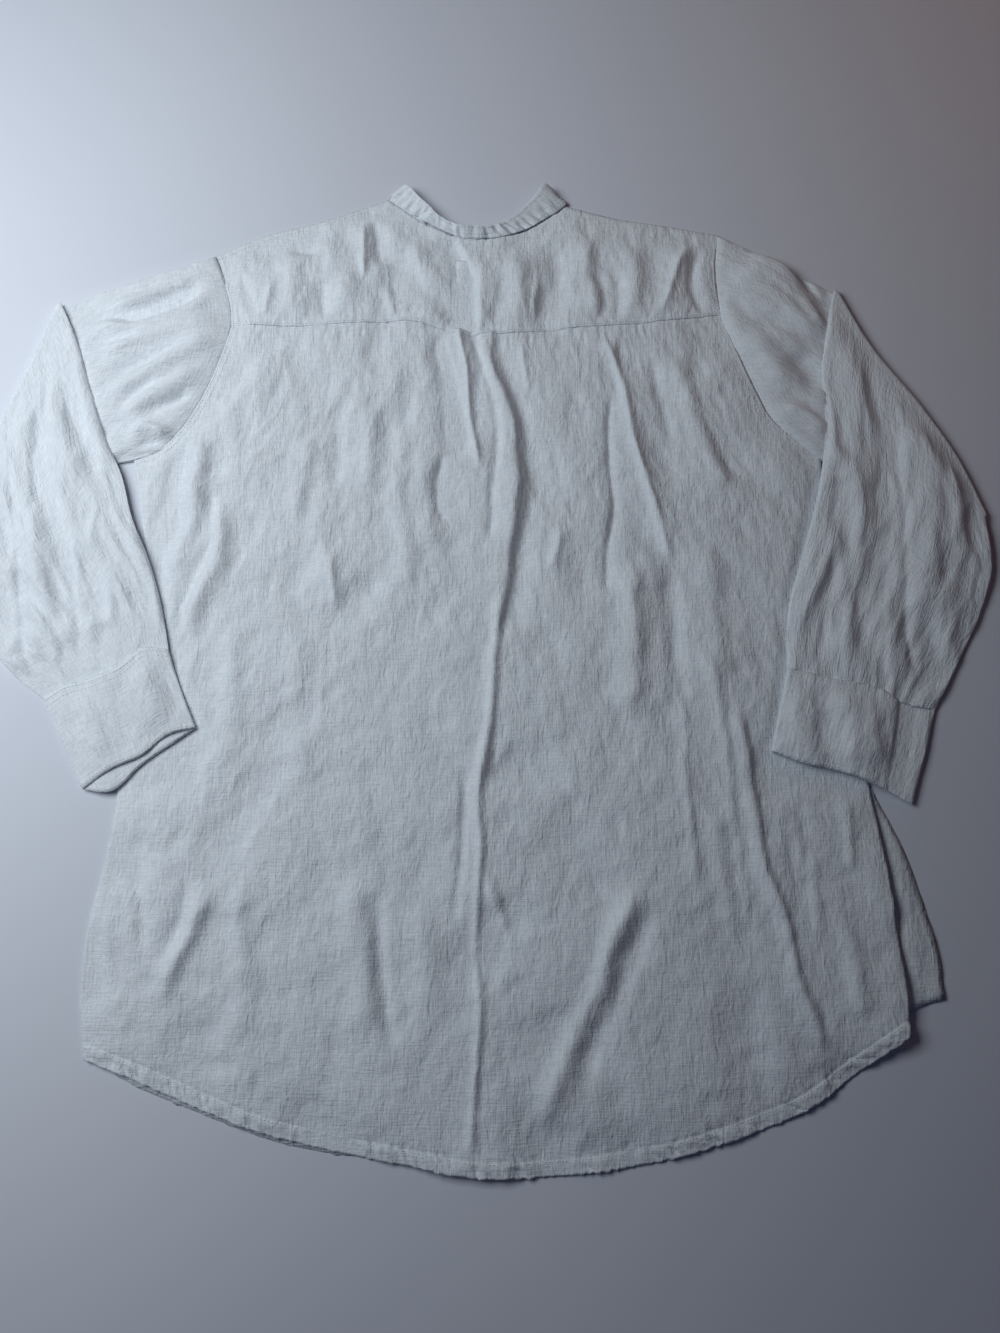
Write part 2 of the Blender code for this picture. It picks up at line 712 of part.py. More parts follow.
def cuff_rings(side, armhole, seam, inner, outer, mouth_upper, mouth_under, valley):
    """Rings of one cuff from the sleeve to its mouth, one mouth line for each layer."""
    widths = tube_widths(armhole)
    places = stations(CUFF_STATIONS)
    start = along(seam, widths)
    grids = []
    for mouth in (mouth_upper, mouth_under):
        end = along(mouth, widths)
        way = (end - start) / np.linalg.norm(end - start, axis=1, keepdims=True)
        begin = start + (SEAM_GAP / 2 + 0.1) * way
        inner_line = along((begin[0], inner[1], end[0]), places)
        outer_line = along((begin[-1], outer[1], end[-1]), places)
        grids.append(patch(begin, end, inner_line, outer_line, widths, places))
    upper, under = grids
    rings = []
    for s in range(len(places)):
        top = upper[1:-1, s]
        bottom = under[1:-1, s]
        share = np.linspace(0, 1, len(top))
        puff = PUFF * np.sin(math.pi * share) ** 0.7 + fold_heights(valley, top)
        base = LOWER_MID - outer_drop(top, side)
        high = np.column_stack([top, base + TUBE_LAYER + puff])
        low = np.column_stack([bottom, LOWER_MID - outer_drop(bottom, side) - TUBE_LAYER])
        ends = upper[[0, -1], s]
        ends = np.column_stack([ends, LOWER_MID - outer_drop(ends, side)])
        rings.append(ring_of(low, high, ends[0], ends[1]))
    return np.array(rings)


def make_sleeves():
    """Both sleeves and both cuffs."""
    hole_left = armhole_points(ARMHOLE_LEFT_YOKE, ARMHOLE_LEFT_BACK)
    hole_right = armhole_points(ARMHOLE_RIGHT_YOKE, ARMHOLE_RIGHT_BACK)
    left = sleeve_rings(
        -1, hole_left, FOLD_LINE_LEFT, INNER_LEFT, OUTER_LEFT, CUFF_SEAM_LEFT, SLEEVE_FOLDS_LEFT
    )
    right = sleeve_rings(
        1, hole_right, FOLD_LINE_RIGHT, INNER_RIGHT, OUTER_RIGHT, CUFF_SEAM_RIGHT, SLEEVE_FOLDS_RIGHT
    )
    cuff_left = cuff_rings(
        -1,
        hole_left,
        CUFF_SEAM_LEFT,
        CUFF_INNER_LEFT,
        CUFF_OUTER_LEFT,
        MOUTH_UPPER_LEFT,
        MOUTH_UNDER_LEFT,
        (),
    )
    cuff_right = cuff_rings(
        1,
        hole_right,
        CUFF_SEAM_RIGHT,
        CUFF_INNER_RIGHT,
        CUFF_OUTER_RIGHT,
        MOUTH_UPPER_RIGHT,
        MOUTH_UPPER_RIGHT,
        (CUFF_VALLEY,),
    )
    return [
        tube_solid("sleeve_left", left),
        tube_solid("sleeve_right", right),
        tube_solid("cuff_left", cuff_left),
        tube_solid("cuff_right", cuff_right),
    ]


class BandRow(NamedTuple):
    """One station of the collar band: its seam edge and its top edge."""

    seam_x: float
    seam_y: float
    seam_z: float
    top_x: float
    top_y: float
    top_z: float


# From the outer end at the centre front, round the right horn, the back and the left horn
BAND_FRONT_RIGHT = (
    BandRow(-14, 312.2, PLACKET_Z, -14, 336, PLACKET_Z),
    BandRow(0, 312.2, PLACKET_Z, 0, 336, PLACKET_Z),
    BandRow(14, 313.4, PLACKET_Z, 10, 337, PLACKET_Z),
    BandRow(21.5, 316.1, 1.3, 16, 340, 1.3),
    BandRow(30.4, 320.6, FRONT_Z, 20, 343, FRONT_Z),
    BandRow(40.2, 326.9, FRONT_Z, 27, 348, FRONT_Z),
    BandRow(58.0, 345.7, FRONT_Z, 39, 361, FRONT_Z),
    BandRow(70.9, 368.5, FRONT_Z, 51, 381, 0.8),
    BandRow(77.0, 382.5, FRONT_Z, 57, 395, 1.0),
)
BAND_BACK = (
    BandRow(77.5, 390.6, BACK_Z, 56.5, 403, 13.0),
    BandRow(66, 382.5, BACK_Z, 47, 393, 13.5),
    BandRow(49, 371.6, BACK_Z, 34, 380, 13.5),
    BandRow(33, 364.6, 3.8, 23, 371, 14.5),
    BandRow(16, 360.4, 5.05, 12, 365, 17.5),
    BandRow(0, 359.4, 5.05, 0, 364, 19.0),
    BandRow(-16, 361.4, 5.05, -17, 366, 18.0),
    BandRow(-31, 369.0, 3.8, -31, 374, 15.0),
    BandRow(-50, 380.6, BACK_Z, -41, 387, 13.5),
    BandRow(-66, 392.0, BACK_Z, -53, 400, 13.0),
    BandRow(-73.5, 397.9, BACK_Z, -58, 407, 12.5),
)
BAND_FRONT_LEFT = (
    BandRow(-73.2, 387, FRONT_Z, -55, 399, 1.0),
    BandRow(-67.7, 370.6, FRONT_Z, -47, 383, 0.8),
    BandRow(-55.9, 346.8, FRONT_Z, -37, 363, FRONT_Z),
    BandRow(-38.0, 327.0, FRONT_Z, -25, 347, FRONT_Z),
    BandRow(-29.5, 321.5, FRONT_Z, -20, 343, FRONT_Z),
    BandRow(-23.4, 318.6, 0.9, -17, 341, 0.9),
    BandRow(-16, 315.6, STAND_Z, -12, 338.4, STAND_Z),
    BandRow(-2, 313.4, STAND_Z, -2, 336.6, STAND_Z),
    BandRow(13, 312.3, STAND_Z, 13, 336, STAND_Z),
)


class Horn(NamedTuple):
    """Turn of the collar band over the shoulder: centres and radii at both its edges."""

    seam: Point
    top: Point
    out: Point
    seam_radius: float
    top_radius: float


HORN_RIGHT = Horn(Point(81.6, 395.4), Point(59.5, 407.5), Point(0.76, 0.65), 0.75, 5.6)
HORN_LEFT = Horn(Point(-78.4, 402.6), Point(-61.0, 409.5), Point(-0.76, 0.65), 0.75, 5.4)


def horn_rows(horn, upward):
    """Rows of the collar band round one horn, from the table side up or back down."""
    rows = []
    angles = np.linspace(-math.pi / 2, math.pi / 2, 8)
    for angle in angles if upward else angles[::-1]:
        reach = math.cos(angle)
        rise = math.sin(angle) + 1
        rows.append(
            BandRow(
                horn.seam.x + horn.seam_radius * reach * horn.out.x,
                horn.seam.y + horn.seam_radius * reach * horn.out.y,
                FRONT_Z + horn.seam_radius * rise,
                horn.top.x + horn.top_radius * reach * horn.out.x,
                horn.top.y + horn.top_radius * reach * horn.out.y,
                FRONT_Z + 0.4 + horn.top_radius * rise,
            )
        )
    return rows


def make_collar():
    """Collar band as one strip from the right end, round both horns, to the left end."""
    rows = [
        *BAND_FRONT_RIGHT,
        *horn_rows(HORN_RIGHT, True),
        *BAND_BACK,
        *horn_rows(HORN_LEFT, False),
        *BAND_FRONT_LEFT,
    ]
    rows = np.array(rows, dtype=float)
    shares = np.linspace(0, 1, 4)[None, :, None]
    grid = rows[:, None, :3] * (1 - shares) + rows[:, None, 3:] * shares
    return sheet_solid("collar", grid)


def make_button(name, place):
    """Round button that lies face down on the table, its rims bevelled."""
    mesh = bpy.data.meshes.new(name)
    disc = bmesh.new()
    bmesh.ops.create_cone(
        disc,
        cap_ends=True,
        segments=BUTTON_SEGMENTS,
        radius1=BUTTON_RADIUS * MM,
        radius2=BUTTON_RADIUS * MM,
        depth=BUTTON_HEIGHT * MM,
    )
    disc.to_mesh(mesh)
    disc.free()
    mesh.materials.append(make_material(name + "_shell", BUTTON_COLOUR, 0.35))
    piece = bpy.data.objects.new(name, mesh)
    piece.location = (place.x * MM, place.y * MM, BUTTON_HEIGHT / 2 * MM)
    bpy.context.scene.collection.objects.link(piece)
    rim = piece.modifiers.new("rim", "BEVEL")
    rim.width = BUTTON_BEVEL * MM
    rim.segments = 1
    rim.limit_method = "ANGLE"
    rim.angle_limit = math.radians(60)
    return piece


def make_buttons():
    """Buttons of the placket, the collar and the cuffs."""
    pieces = []
    for number, level in enumerate(BUTTON_LEVELS, start=1):
        pieces.append(make_button(f"button_front_{number}", Point(0, level)))
    pieces.append(make_button("button_collar", Point(0, COLLAR_BUTTON_LEVEL)))
    pieces.append(make_button("button_cuff_left", CUFF_BUTTON_LEFT))
    pieces.append(make_button("button_cuff_right", CUFF_BUTTON_RIGHT))
    return pieces


def make_material(name, colour, roughness):
    """Plain surface of one piece kind."""
    material = bpy.data.materials.new(name)
    material.use_nodes = True
    shader = material.node_tree.nodes["Principled BSDF"]
    shader.inputs["Base Color"].default_value = colour
    shader.inputs["Roughness"].default_value = roughness
    shader.inputs["Metallic"].default_value = 0.0
    material.diffuse_color = colour
    return material


def centre_pieces(pieces):
    """Place all pieces so that the origin lies under the middle of their box."""
    corners = [
        piece.location + vertex.co
        for piece in pieces
        for vertex in piece.data.vertices
    ]
    middle_x = (min(corner.x for corner in corners) + max(corner.x for corner in corners)) / 2
    middle_y = (min(corner.y for corner in corners) + max(corner.y for corner in corners)) / 2
    for piece in pieces:
        piece.location.x -= middle_x
        piece.location.y -= middle_y


def main():
    """Build every piece of the shirt."""
    for stale in list(bpy.data.objects):
        bpy.data.objects.remove(stale, do_unlink=True)
    pieces = [
        make_back(),
        make_yoke(),
        make_front_left(),
        make_front_right(),
        make_placket(),
        make_collar(),
        *make_sleeves(),
        *make_buttons(),
    ]
    centre_pieces(pieces)


main()
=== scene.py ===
"""Dressed model of a long-sleeved band-collar shirt that lies flat with its back upward.

Frame: metres, +Z up, collar toward +Y, the wearer's left sleeve toward -X, table at Z = 0.
Outlines and creases are in millimetres in plan and are turned to metres when a piece is made.
Each cut piece is a thin closed shell of linen on the form of its solid. The creases that show
are listed one by one, and a fine random crumple lies between them.
"""

import logging
import math
from dataclasses import dataclass, field
from enum import Enum

import bmesh
import bpy
import numpy as np
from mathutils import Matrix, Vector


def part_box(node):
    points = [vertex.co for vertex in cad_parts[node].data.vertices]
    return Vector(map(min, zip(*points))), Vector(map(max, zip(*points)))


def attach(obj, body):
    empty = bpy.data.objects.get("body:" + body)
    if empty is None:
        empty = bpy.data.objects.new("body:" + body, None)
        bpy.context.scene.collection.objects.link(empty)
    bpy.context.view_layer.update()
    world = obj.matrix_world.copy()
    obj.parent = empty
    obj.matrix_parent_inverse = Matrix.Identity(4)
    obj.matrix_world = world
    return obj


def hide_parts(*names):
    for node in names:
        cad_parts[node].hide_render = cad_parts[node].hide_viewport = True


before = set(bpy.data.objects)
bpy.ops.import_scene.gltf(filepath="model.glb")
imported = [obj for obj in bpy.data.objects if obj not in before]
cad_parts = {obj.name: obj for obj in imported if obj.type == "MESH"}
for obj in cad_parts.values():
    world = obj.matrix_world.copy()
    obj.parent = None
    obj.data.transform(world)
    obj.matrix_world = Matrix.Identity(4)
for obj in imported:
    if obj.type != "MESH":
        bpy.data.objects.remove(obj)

log = logging.getLogger("shirt")

Array = np.ndarray
Outline = tuple[tuple[float, float], ...]
Tree = bpy.types.NodeTree
Socket = bpy.types.NodeSocket
Piece = bpy.types.Object
MM = 0.001
FIRST_BUTTON = 290  # mm, place of the top front button up the plan


class Crest(Enum):
    """Shape of a crease in section."""

    SOFT = "soft"
    SHARP = "sharp"


class Held(Enum):
    """How a sheet of cloth is held."""

    LAID = "laid"
    FOLDED = "folded"


# Plan geometry


def smooth_step(value: Array | float) -> Array:
    """Soft change from 0 to 1.

    Args:
        value: place on the way, 0 at its start and 1 at its end.

    Returns:
        The eased share.
    """
    t = np.clip(value, 0, 1)
    return t * t * (3 - 2 * t)


def through(knots: Array, rows: Array, places: Array) -> Array:
    """Read a smooth line through the rows of a table.

    Args:
        knots: place of each row.
        rows: values, one row for each knot.
        places: places to read.

    Returns:
        One row of values for each place.
    """
    knots = np.asarray(knots, dtype=float)
    rows = np.asarray(rows, dtype=float)
    places = np.asarray(places, dtype=float)
    slopes = np.gradient(rows, knots, axis=0)
    index = np.clip(np.searchsorted(knots, places, side="right") - 1, 0, len(knots) - 2)
    step = (knots[index + 1] - knots[index])[:, None]
    t = (places[:, None] - knots[index][:, None]) / step
    start = (2 * t**3 - 3 * t**2 + 1) * rows[index]
    end = (3 * t**2 - 2 * t**3) * rows[index + 1]
    lean_start = (t**3 - 2 * t**2 + t) * step * slopes[index]
    lean_end = (t**3 - t**2) * step * slopes[index + 1]
    return start + end + lean_start + lean_end


def along(line: Outline | Array, shares: Array) -> Array:
    """Points at shares of the length of a smooth line.

    Args:
        line: points that the line passes through.
        shares: shares of its length, from 0 to 1.

    Returns:
        One point for each share.
    """
    rows = np.asarray(line, dtype=float)
    steps = np.linalg.norm(np.diff(rows[:, :2], axis=0), axis=1)
    knots = np.concatenate([[0.0], np.cumsum(steps)]) / steps.sum()
    return through(knots, rows, shares)


def bell(distance: Array, centre: float, width: float) -> Array:
    """Round bump in section.

    Args:
        distance: distance of each point from a line.
        centre: distance at which the bump is highest.
        width: distance over which it falls away.

    Returns:
        Share of its height.
    """
    return np.exp(-(((distance - centre) / width) ** 2))


def by_x(lines: list[Outline], places: Array) -> Array:
    """Points of lines that run one after another in X.

    Args:
        lines: lines in rising X.
        places: X of each point.

    Returns:
        One plan point for each place.
    """
    places = np.asarray(places, dtype=float)
    result = np.stack([places, np.zeros_like(places)], axis=1)
    for line in lines:
        rows = np.asarray(line, dtype=float)
        chosen = (places >= rows[0, 0] - 1e-6) & (places <= rows[-1, 0] + 1e-6)
        if chosen.any():
            result[chosen, 1:] = through(rows[:, 0], rows[:, 1:], places[chosen])
    return result


def patch(bottom: Array, top: Array, left: Array, right: Array, across: Array, up: Array) -> Array:
    """Fill a plan grid between four edges.

    Args:
        bottom: points of the edge at 0 up.
        top: points of the edge at 1 up.
        left: points of the edge at 0 across.
        right: points of the edge at 1 across.
        across: share across of each column.
        up: share up of each row.

    Returns:
        Points, first index across and second index up.
    """
    u = np.asarray(across)[:, None, None]
    v = np.asarray(up)[None, :, None]
    rows = (1 - v) * bottom[:, None, :] + v * top[:, None, :]
    columns = (1 - u) * left[None, :, :] + u * right[None, :, :]
    low = (1 - u) * bottom[0] + u * bottom[-1]
    high = (1 - u) * top[0] + u * top[-1]
    return rows + columns - (1 - v) * low - v * high


def side_edge(side: Outline, armhole: Outline, level: float, up: Array) -> Array:
    """Side of a body panel from the hem to the armpit and on up the armhole.

    Args:
        side: line from the hem to the armpit.
        armhole: line from its top down to the armpit.
        level: share up at which the armpit lies.
        up: share up of each row.

    Returns:
        One point for each row.
    """
    low = up <= level
    return np.concatenate(
        [along(side, up[low] / level), along(armhole[::-1], (up[~low] - level) / (1 - level))]
    )


def surface_normals(grid: Array, ring: bool) -> Array:
    """Unit normals of a grid of points.

    Args:
        grid: points, two indices.
        ring: whether the first index closes on itself.

    Returns:
        One normal for each point.
    """
    if ring:
        first = np.roll(grid, -1, axis=0) - np.roll(grid, 1, axis=0)
    else:
        first = np.gradient(grid, axis=0)
    normals = np.cross(first, np.gradient(grid, axis=1))
    return normals / np.maximum(np.linalg.norm(normals, axis=-1, keepdims=True), 1e-9)


class Course:
    """Smooth line in plan that tells how far points lie from it."""

    def __init__(self, points: Outline | Array, spacing: float = 5.0) -> None:
        """Sample the line.

        Args:
            points: points that the line passes through.
            spacing: distance between samples in millimetres.
        """
        rows = np.asarray(points, dtype=float)
        length = np.linalg.norm(np.diff(rows, axis=0), axis=1).sum()
        self.line = along(rows, np.linspace(0, 1, max(8, int(length / spacing))))
        steps = np.linalg.norm(np.diff(self.line, axis=0), axis=1)
        self.runs = np.concatenate([[0.0], np.cumsum(steps)])
        self.length = float(self.runs[-1])
        tangent = np.gradient(self.line, axis=0)
        self.tangent = tangent / np.linalg.norm(tangent, axis=1, keepdims=True)

    def measure(self, points: Array) -> tuple[Array, Array]:
        """Place of points beside the line.

        Args:
            points: plan points, one row each.

        Returns:
            Signed distance, positive to the left of the line's way, and the run along it.
        """
        apart = ((points[:, None, :] - self.line) ** 2).sum(axis=-1)
        index = apart.argmin(axis=1)
        offset = points - self.line[index]
        way = self.tangent[index]
        run = self.runs[index] + (offset * way).sum(axis=-1)
        return way[:, 0] * offset[:, 1] - way[:, 1] * offset[:, 0], run

    def beside(self, plan: Array) -> tuple[Array, Array]:
        """Distance and run of a whole grid of plan points.

        Args:
            plan: plan points with any leading shape.

        Returns:
            Distance in millimetres without sign, and the run along the line.
        """
        side, run = self.measure(plan.reshape(-1, 2))
        beyond = np.maximum(0, np.maximum(-run, run - self.length))
        shape = plan.shape[:-1]
        return np.hypot(side, beyond).reshape(shape), run.reshape(shape)


@dataclass(frozen=True)
class Crease:
    """One listed crease of the cloth.

    A ridge has a positive height and a trough a negative one. The widths are those to the
    right and to the left of the path's way, so one flank can be steeper than the other.
    """

    path: Outline
    right: float
    left: float
    height: float
    crest: Crest = Crest.SOFT

    reach = 3.4  # widths beyond which nothing is left of it
    fade_share = 0.28  # share of the length over which each end fades in
    longest_fade = 24.0
    steepness = 1.7  # of a sharp crest
    tip = 0.06  # how round the tip of a sharp crest is
    tip_level = 0.245

    def heights(self, plan: Array) -> Array:
        """Height that the crease adds.

        Args:
            plan: plan points with any leading shape.

        Returns:
            Height in millimetres at each point.
        """
        course = Course(self.path, 6.0)
        reach = self.reach * max(self.right, self.left)
        low = course.line.min(axis=0) - reach
        high = course.line.max(axis=0) + reach
        near = np.all((plan > low) & (plan < high), axis=-1)
        total = np.zeros(plan.shape[:-1])
        if not near.any():
            return total
        side, run = course.measure(plan[near])
        ease = min(self.fade_share * course.length, self.longest_fade)
        fade = smooth_step(run / ease) * smooth_step((course.length - run) / ease)
        place = side / np.where(side > 0, self.left, self.right)
        if self.crest is Crest.SOFT:
            section = np.exp(-(place**2))
        else:
            section = np.exp(-self.steepness * (np.sqrt(place**2 + self.tip) - self.tip_level))
        total[near] = self.height * fade * section
        return total


def crease_heights(creases: tuple[Crease, ...], plan: Array) -> Array:
    """Height that a table of creases adds.

    Args:
        creases: the table.
        plan: plan points.

    Returns:
        Height in millimetres at each point.
    """
    total = np.zeros(plan.shape[:-1])
    for crease in creases:
        total += crease.heights(plan)
    return total


@dataclass
class Crinkle:
    """One layer of random wrinkles, longer along the cloth than across it; sizes in millimetres."""

    seed: int
    across: float
    along: float
    height: float
    ridged: float = 0.0  # share of sharp ridges
    spread: float = 0.45  # how much the wrinkles differ in size
    values: Array = field(init=False, repr=False)

    square = 1024  # side of the drawn square, which repeats
    ridge_level = 0.8
    ridge_gain = 1.6

    def __post_init__(self) -> None:
        """Draw the layer, one value for each millimetre of the square."""
        count = self.square
        grain = np.random.default_rng(self.seed).standard_normal((count, count))
        rate = np.fft.fftfreq(count)
        reach = np.hypot(rate[:, None] * self.across, rate[None, :] * self.along)
        band = np.exp(-((np.log(np.maximum(reach, 1e-6)) / self.spread) ** 2))
        wave = np.fft.ifft2(np.fft.fft2(grain) * band).real
        wave /= wave.std()
        sharp = self.ridge_level - np.abs(wave)
        self.values = (1 - self.ridged) * wave + self.ridged * sharp * self.ridge_gain

    def at(self, measure: Array) -> Array:
        """Height of the layer.

        Args:
            measure: places on the cloth in millimetres, across and along.

        Returns:
            Height in millimetres.
        """
        place = np.mod(measure, self.square)
        low = np.floor(place).astype(int) % self.square
        high = (low + 1) % self.square
        part = place - np.floor(place)
        a, b = part[..., 0], part[..., 1]
        lower = self.values[low[..., 0], low[..., 1]] * (1 - a) + self.values[high[..., 0], low[..., 1]] * a
        upper = self.values[low[..., 0], high[..., 1]] * (1 - a) + self.values[high[..., 0], high[..., 1]] * a
        return self.height * (lower * (1 - b) + upper * b)


class Crumple:
    """Crumple of washed linen: broad swells, long streaks and fine crinkles."""

    def __init__(self) -> None:
        """Draw every layer with its own fixed seed."""
        self.swell = Crinkle(seed=11, across=66, along=120, height=1.5, ridged=0.3, spread=0.6)
        self.streak = Crinkle(seed=12, across=19, along=46, height=0.24, ridged=0.75, spread=0.6)
        self.fine = Crinkle(seed=13, across=9.5, along=16, height=0.12, ridged=0.6, spread=0.55)
        self.dent = Crinkle(seed=14, across=30, along=42, height=0.4, ridged=0.55, spread=0.6)
        self.facet = Crinkle(seed=17, across=44, along=96, height=1.5, ridged=0.75)
        self.drift = Crinkle(seed=15, across=60, along=80, height=0.9)
        self.pucker = Crinkle(seed=16, across=6.5, along=15, height=1.0, ridged=0.4, spread=0.35)

    def heights(self, measure: Array) -> Array:
        """Height of all layers together.

        Args:
            measure: places on the cloth in millimetres, across and along.

        Returns:
            Height in millimetres.
        """
        layers = (self.swell, self.streak, self.fine, self.dent)
        return sum(layer.at(measure) for layer in layers)

    def drifted(self, plan: Array) -> Array:
        """Plan points moved a little, so that creases wander and vary in width."""
        return plan + np.stack([self.drift.at(plan), self.drift.at(plan[..., ::-1] + 300)], axis=-1)

    def puckers(self, run: Array, apart: Array) -> Array:
        """Small gathers along a seam.

        Args:
            run: run along the seam in millimetres.
            apart: distance from it.

        Returns:
            Height of the gathers.
        """
        run, apart = np.broadcast_arrays(run, apart)
        return self.pucker.at(np.stack([run, apart], axis=-1))


# Finishes


def linear(hex_colour: str) -> tuple[float, float, float, float]:
    """Turn an sRGB hex colour to a linear one.

    Args:
        hex_colour: six hex digits after a hash.

    Returns:
        Red, green, blue and alpha.
    """
    parts = [int(hex_colour[i : i + 2], 16) / 255 for i in (1, 3, 5)]
    red, green, blue = (c / 12.92 if c <= 0.04045 else ((c + 0.055) / 1.055) ** 2.4 for c in parts)
    return red, green, blue, 1.0


def feed(tree: Tree, node: bpy.types.Node, **links: object) -> None:
    """Set or link some inputs of a node.

    Args:
        tree: node tree of the node.
        node: the node.
        links: input names, with spaces as underscores or an index after in_, and each value or output.
    """
    for name, value in links.items():
        socket = node.inputs[int(name[3:])] if name.startswith("in_") else node.inputs[name.replace("_", " ")]
        if isinstance(value, Socket):
            tree.links.new(value, socket)
        else:
            socket.default_value = value


def add_node(tree: Tree, kind: str, settings: dict | None = None, **links: object) -> bpy.types.Node:
    """Add one node with its settings and its links.

    Args:
        tree: node tree to add it to.
        kind: type of the node.
        settings: property names and values.
        links: inputs, as feed takes them.

    Returns:
        The new node.
    """
    node = tree.nodes.new(kind)
    for name, value in (settings or {}).items():
        setattr(node, name, value)
    feed(tree, node, **links)
    return node


def calculate(tree: Tree, operation: str, *values: object) -> Socket:
    """Add a math node.

    Args:
        tree: node tree to add it to.
        operation: what it works out.
        values: numbers or outputs, in the order of its inputs.

    Returns:
        Its output.
    """
    links = {f"in_{number}": value for number, value in enumerate(values)}
    return add_node(tree, "ShaderNodeMath", {"operation": operation}, **links).outputs[0]


def noise(tree: Tree, size: float, **links: float) -> Socket:
    """Add a noise texture that reads a piece's place in the frame.

    Args:
        tree: node tree to add it to.
        size: size of one spot in millimetres.
        links: other inputs of the texture.

    Returns:
        Its value.
    """
    place = add_node(tree, "ShaderNodeTexCoord").outputs["Object"]
    scale = 1 / (size * MM)
    return add_node(tree, "ShaderNodeTexNoise", None, Vector=place, Scale=scale, **links).outputs["Fac"]


def cloth_noise(
    tree: Tree,
    place: Socket,
    size: tuple[float, float],
    shift: float = 0.0,
    **links: float,
) -> Socket:
    """Add a flat noise texture stretched to a size on the cloth.

    Args:
        tree: node tree to add it to.
        place: place on the cloth in metres.
        size: width and length of one spot in millimetres.
        shift: offset that sets one texture apart from another.
        links: other inputs of the texture.

    Returns:
        Its value.
    """
    scale = (1 / (size[0] * MM), 1 / (size[1] * MM), 1.0)
    start = (shift, shift, 0.0)
    turned = add_node(tree, "ShaderNodeMapping", None, Vector=place, Location=start, Scale=scale)
    flat = {"noise_dimensions": "2D"}
    spots = add_node(tree, "ShaderNodeTexNoise", flat, Vector=turned.outputs[0], Scale=1.0, **links)
    return spots.outputs["Fac"]


def tint(tree: Tree, share: Socket, shade: str, light: str) -> Socket:
    """Add a mix of two colours.

    Args:
        tree: node tree to add it to.
        share: share of the lighter colour.
        shade: darker colour.
        light: lighter colour.

    Returns:
        The mixed colour.
    """
    kind = {"data_type": "RGBA"}
    mixed = add_node(tree, "ShaderNodeMix", kind, in_0=share, in_6=linear(shade), in_7=linear(light))
    return mixed.outputs[2]


def emboss(
    tree: Tree, height: Socket, depth: float, strength: float = 1.0, **links: object
) -> Socket:
    """Add a bump.

    Args:
        tree: node tree to add it to.
        height: pattern of the bump.
        depth: depth in millimetres.
        strength: share of the bump.
        links: other inputs, such as the normal of another bump.

    Returns:
        The normal.
    """
    sizes = {"Distance": depth * MM, "Strength": strength}
    return add_node(tree, "ShaderNodeBump", None, Height=height, **sizes, **links).outputs[0]


def new_surface(name: str) -> tuple[bpy.types.Material, Tree, bpy.types.Node]:
    """Start a material.

    Args:
        name: name of the real finish.

    Returns:
        The material, its node tree and its shader.
    """
    material = bpy.data.materials.new(name)
    material.use_nodes = True
    tree = material.node_tree
    return material, tree, tree.nodes["Principled BSDF"]


@dataclass(frozen=True)
class WashedLinen:
    """Washed white linen in plain weave: dry and matt, a faint cool cast, uneven slubby yarns."""

    name: str = "linen_plain_weave_washed_white"
    light: str = "#F3F8FD"
    shade: str = "#DFE7EE"
    roughness: float = 0.86
    specular: float = 0.25
    sheen: float = 0.22
    sheen_roughness: float = 0.5
    yarn: float = 1.5  # mm between drawn yarns; the real 0.7 mm is too fine for the render
    slub: float = 14.0  # mm, length of a thick place in a yarn
    fleck: tuple[float, float] = (2.6, 4.2)  # mm, width and length of an uneven spot
    fleck_share: float = 0.9
    relief: float = 0.38  # mm, depth of yarns and flecks
    tone: tuple[float, float] = (1.05, 1.85)  # relief at which the colour is darkest and lightest
    fine_wrinkle: tuple[float, float] = (5.5, 11.0)  # mm, width and length
    long_wrinkle: tuple[float, float] = (11.0, 27.0)
    long_share: float = 1.5
    crinkle: float = 0.72  # mm, depth of the wrinkles

    @staticmethod
    def wrinkles(
        tree: Tree, place: Socket, size: tuple[float, float], shift: float
    ) -> Socket:
        """Height of fine sharp wrinkles that washing leaves.

        Args:
            tree: node tree of the material.
            place: cloth place in metres.
            size: width and length of one wrinkle in millimetres.
            shift: offset that sets one layer apart from another.

        Returns:
            Socket with the height, highest along thin crooked lines.
        """
        drawn = cloth_noise(tree, place, size, shift, Detail=1.0, Roughness=0.45, Distortion=0.5)
        fold = calculate(tree, "ABSOLUTE", calculate(tree, "SUBTRACT", 0.5, drawn))
        return calculate(tree, "MULTIPLY", fold, -1.0)

    def material(self) -> bpy.types.Material:
        """Build the node material; patterns read the piece's own UV map in metres.

        Returns:
            The material.
        """
        material, tree, shader = new_surface(self.name)
        place = add_node(tree, "ShaderNodeUVMap", {"uv_map": "cloth"}).outputs["UV"]
        lying, standing = (
            cloth_noise(tree, place, size, Detail=2.0, Roughness=0.55)
            for size in ((self.yarn, self.slub), (self.slub, self.yarn))
        )
        weave = calculate(tree, "ADD", lying, standing)
        fleck = cloth_noise(tree, place, self.fleck, Detail=3.0, Roughness=0.6)
        relief = calculate(tree, "MULTIPLY_ADD", fleck, self.fleck_share, weave)
        fine = self.wrinkles(tree, place, self.fine_wrinkle, 0.0)
        long = self.wrinkles(tree, place, self.long_wrinkle, 31.0)
        wrinkled = emboss(tree, calculate(tree, "MULTIPLY_ADD", long, self.long_share, fine), self.crinkle)
        dark, pale = self.tone
        tone = add_node(tree, "ShaderNodeMapRange", None, Value=relief, From_Min=dark, From_Max=pale)
        feed(
            tree,
            shader,
            Base_Color=tint(tree, tone.outputs[0], self.shade, self.light),
            Normal=emboss(tree, relief, self.relief, Normal=wrinkled),
            Roughness=self.roughness,
            Specular_IOR_Level=self.specular,
            Sheen_Weight=self.sheen,
            Sheen_Roughness=self.sheen_roughness,
        )
        return material


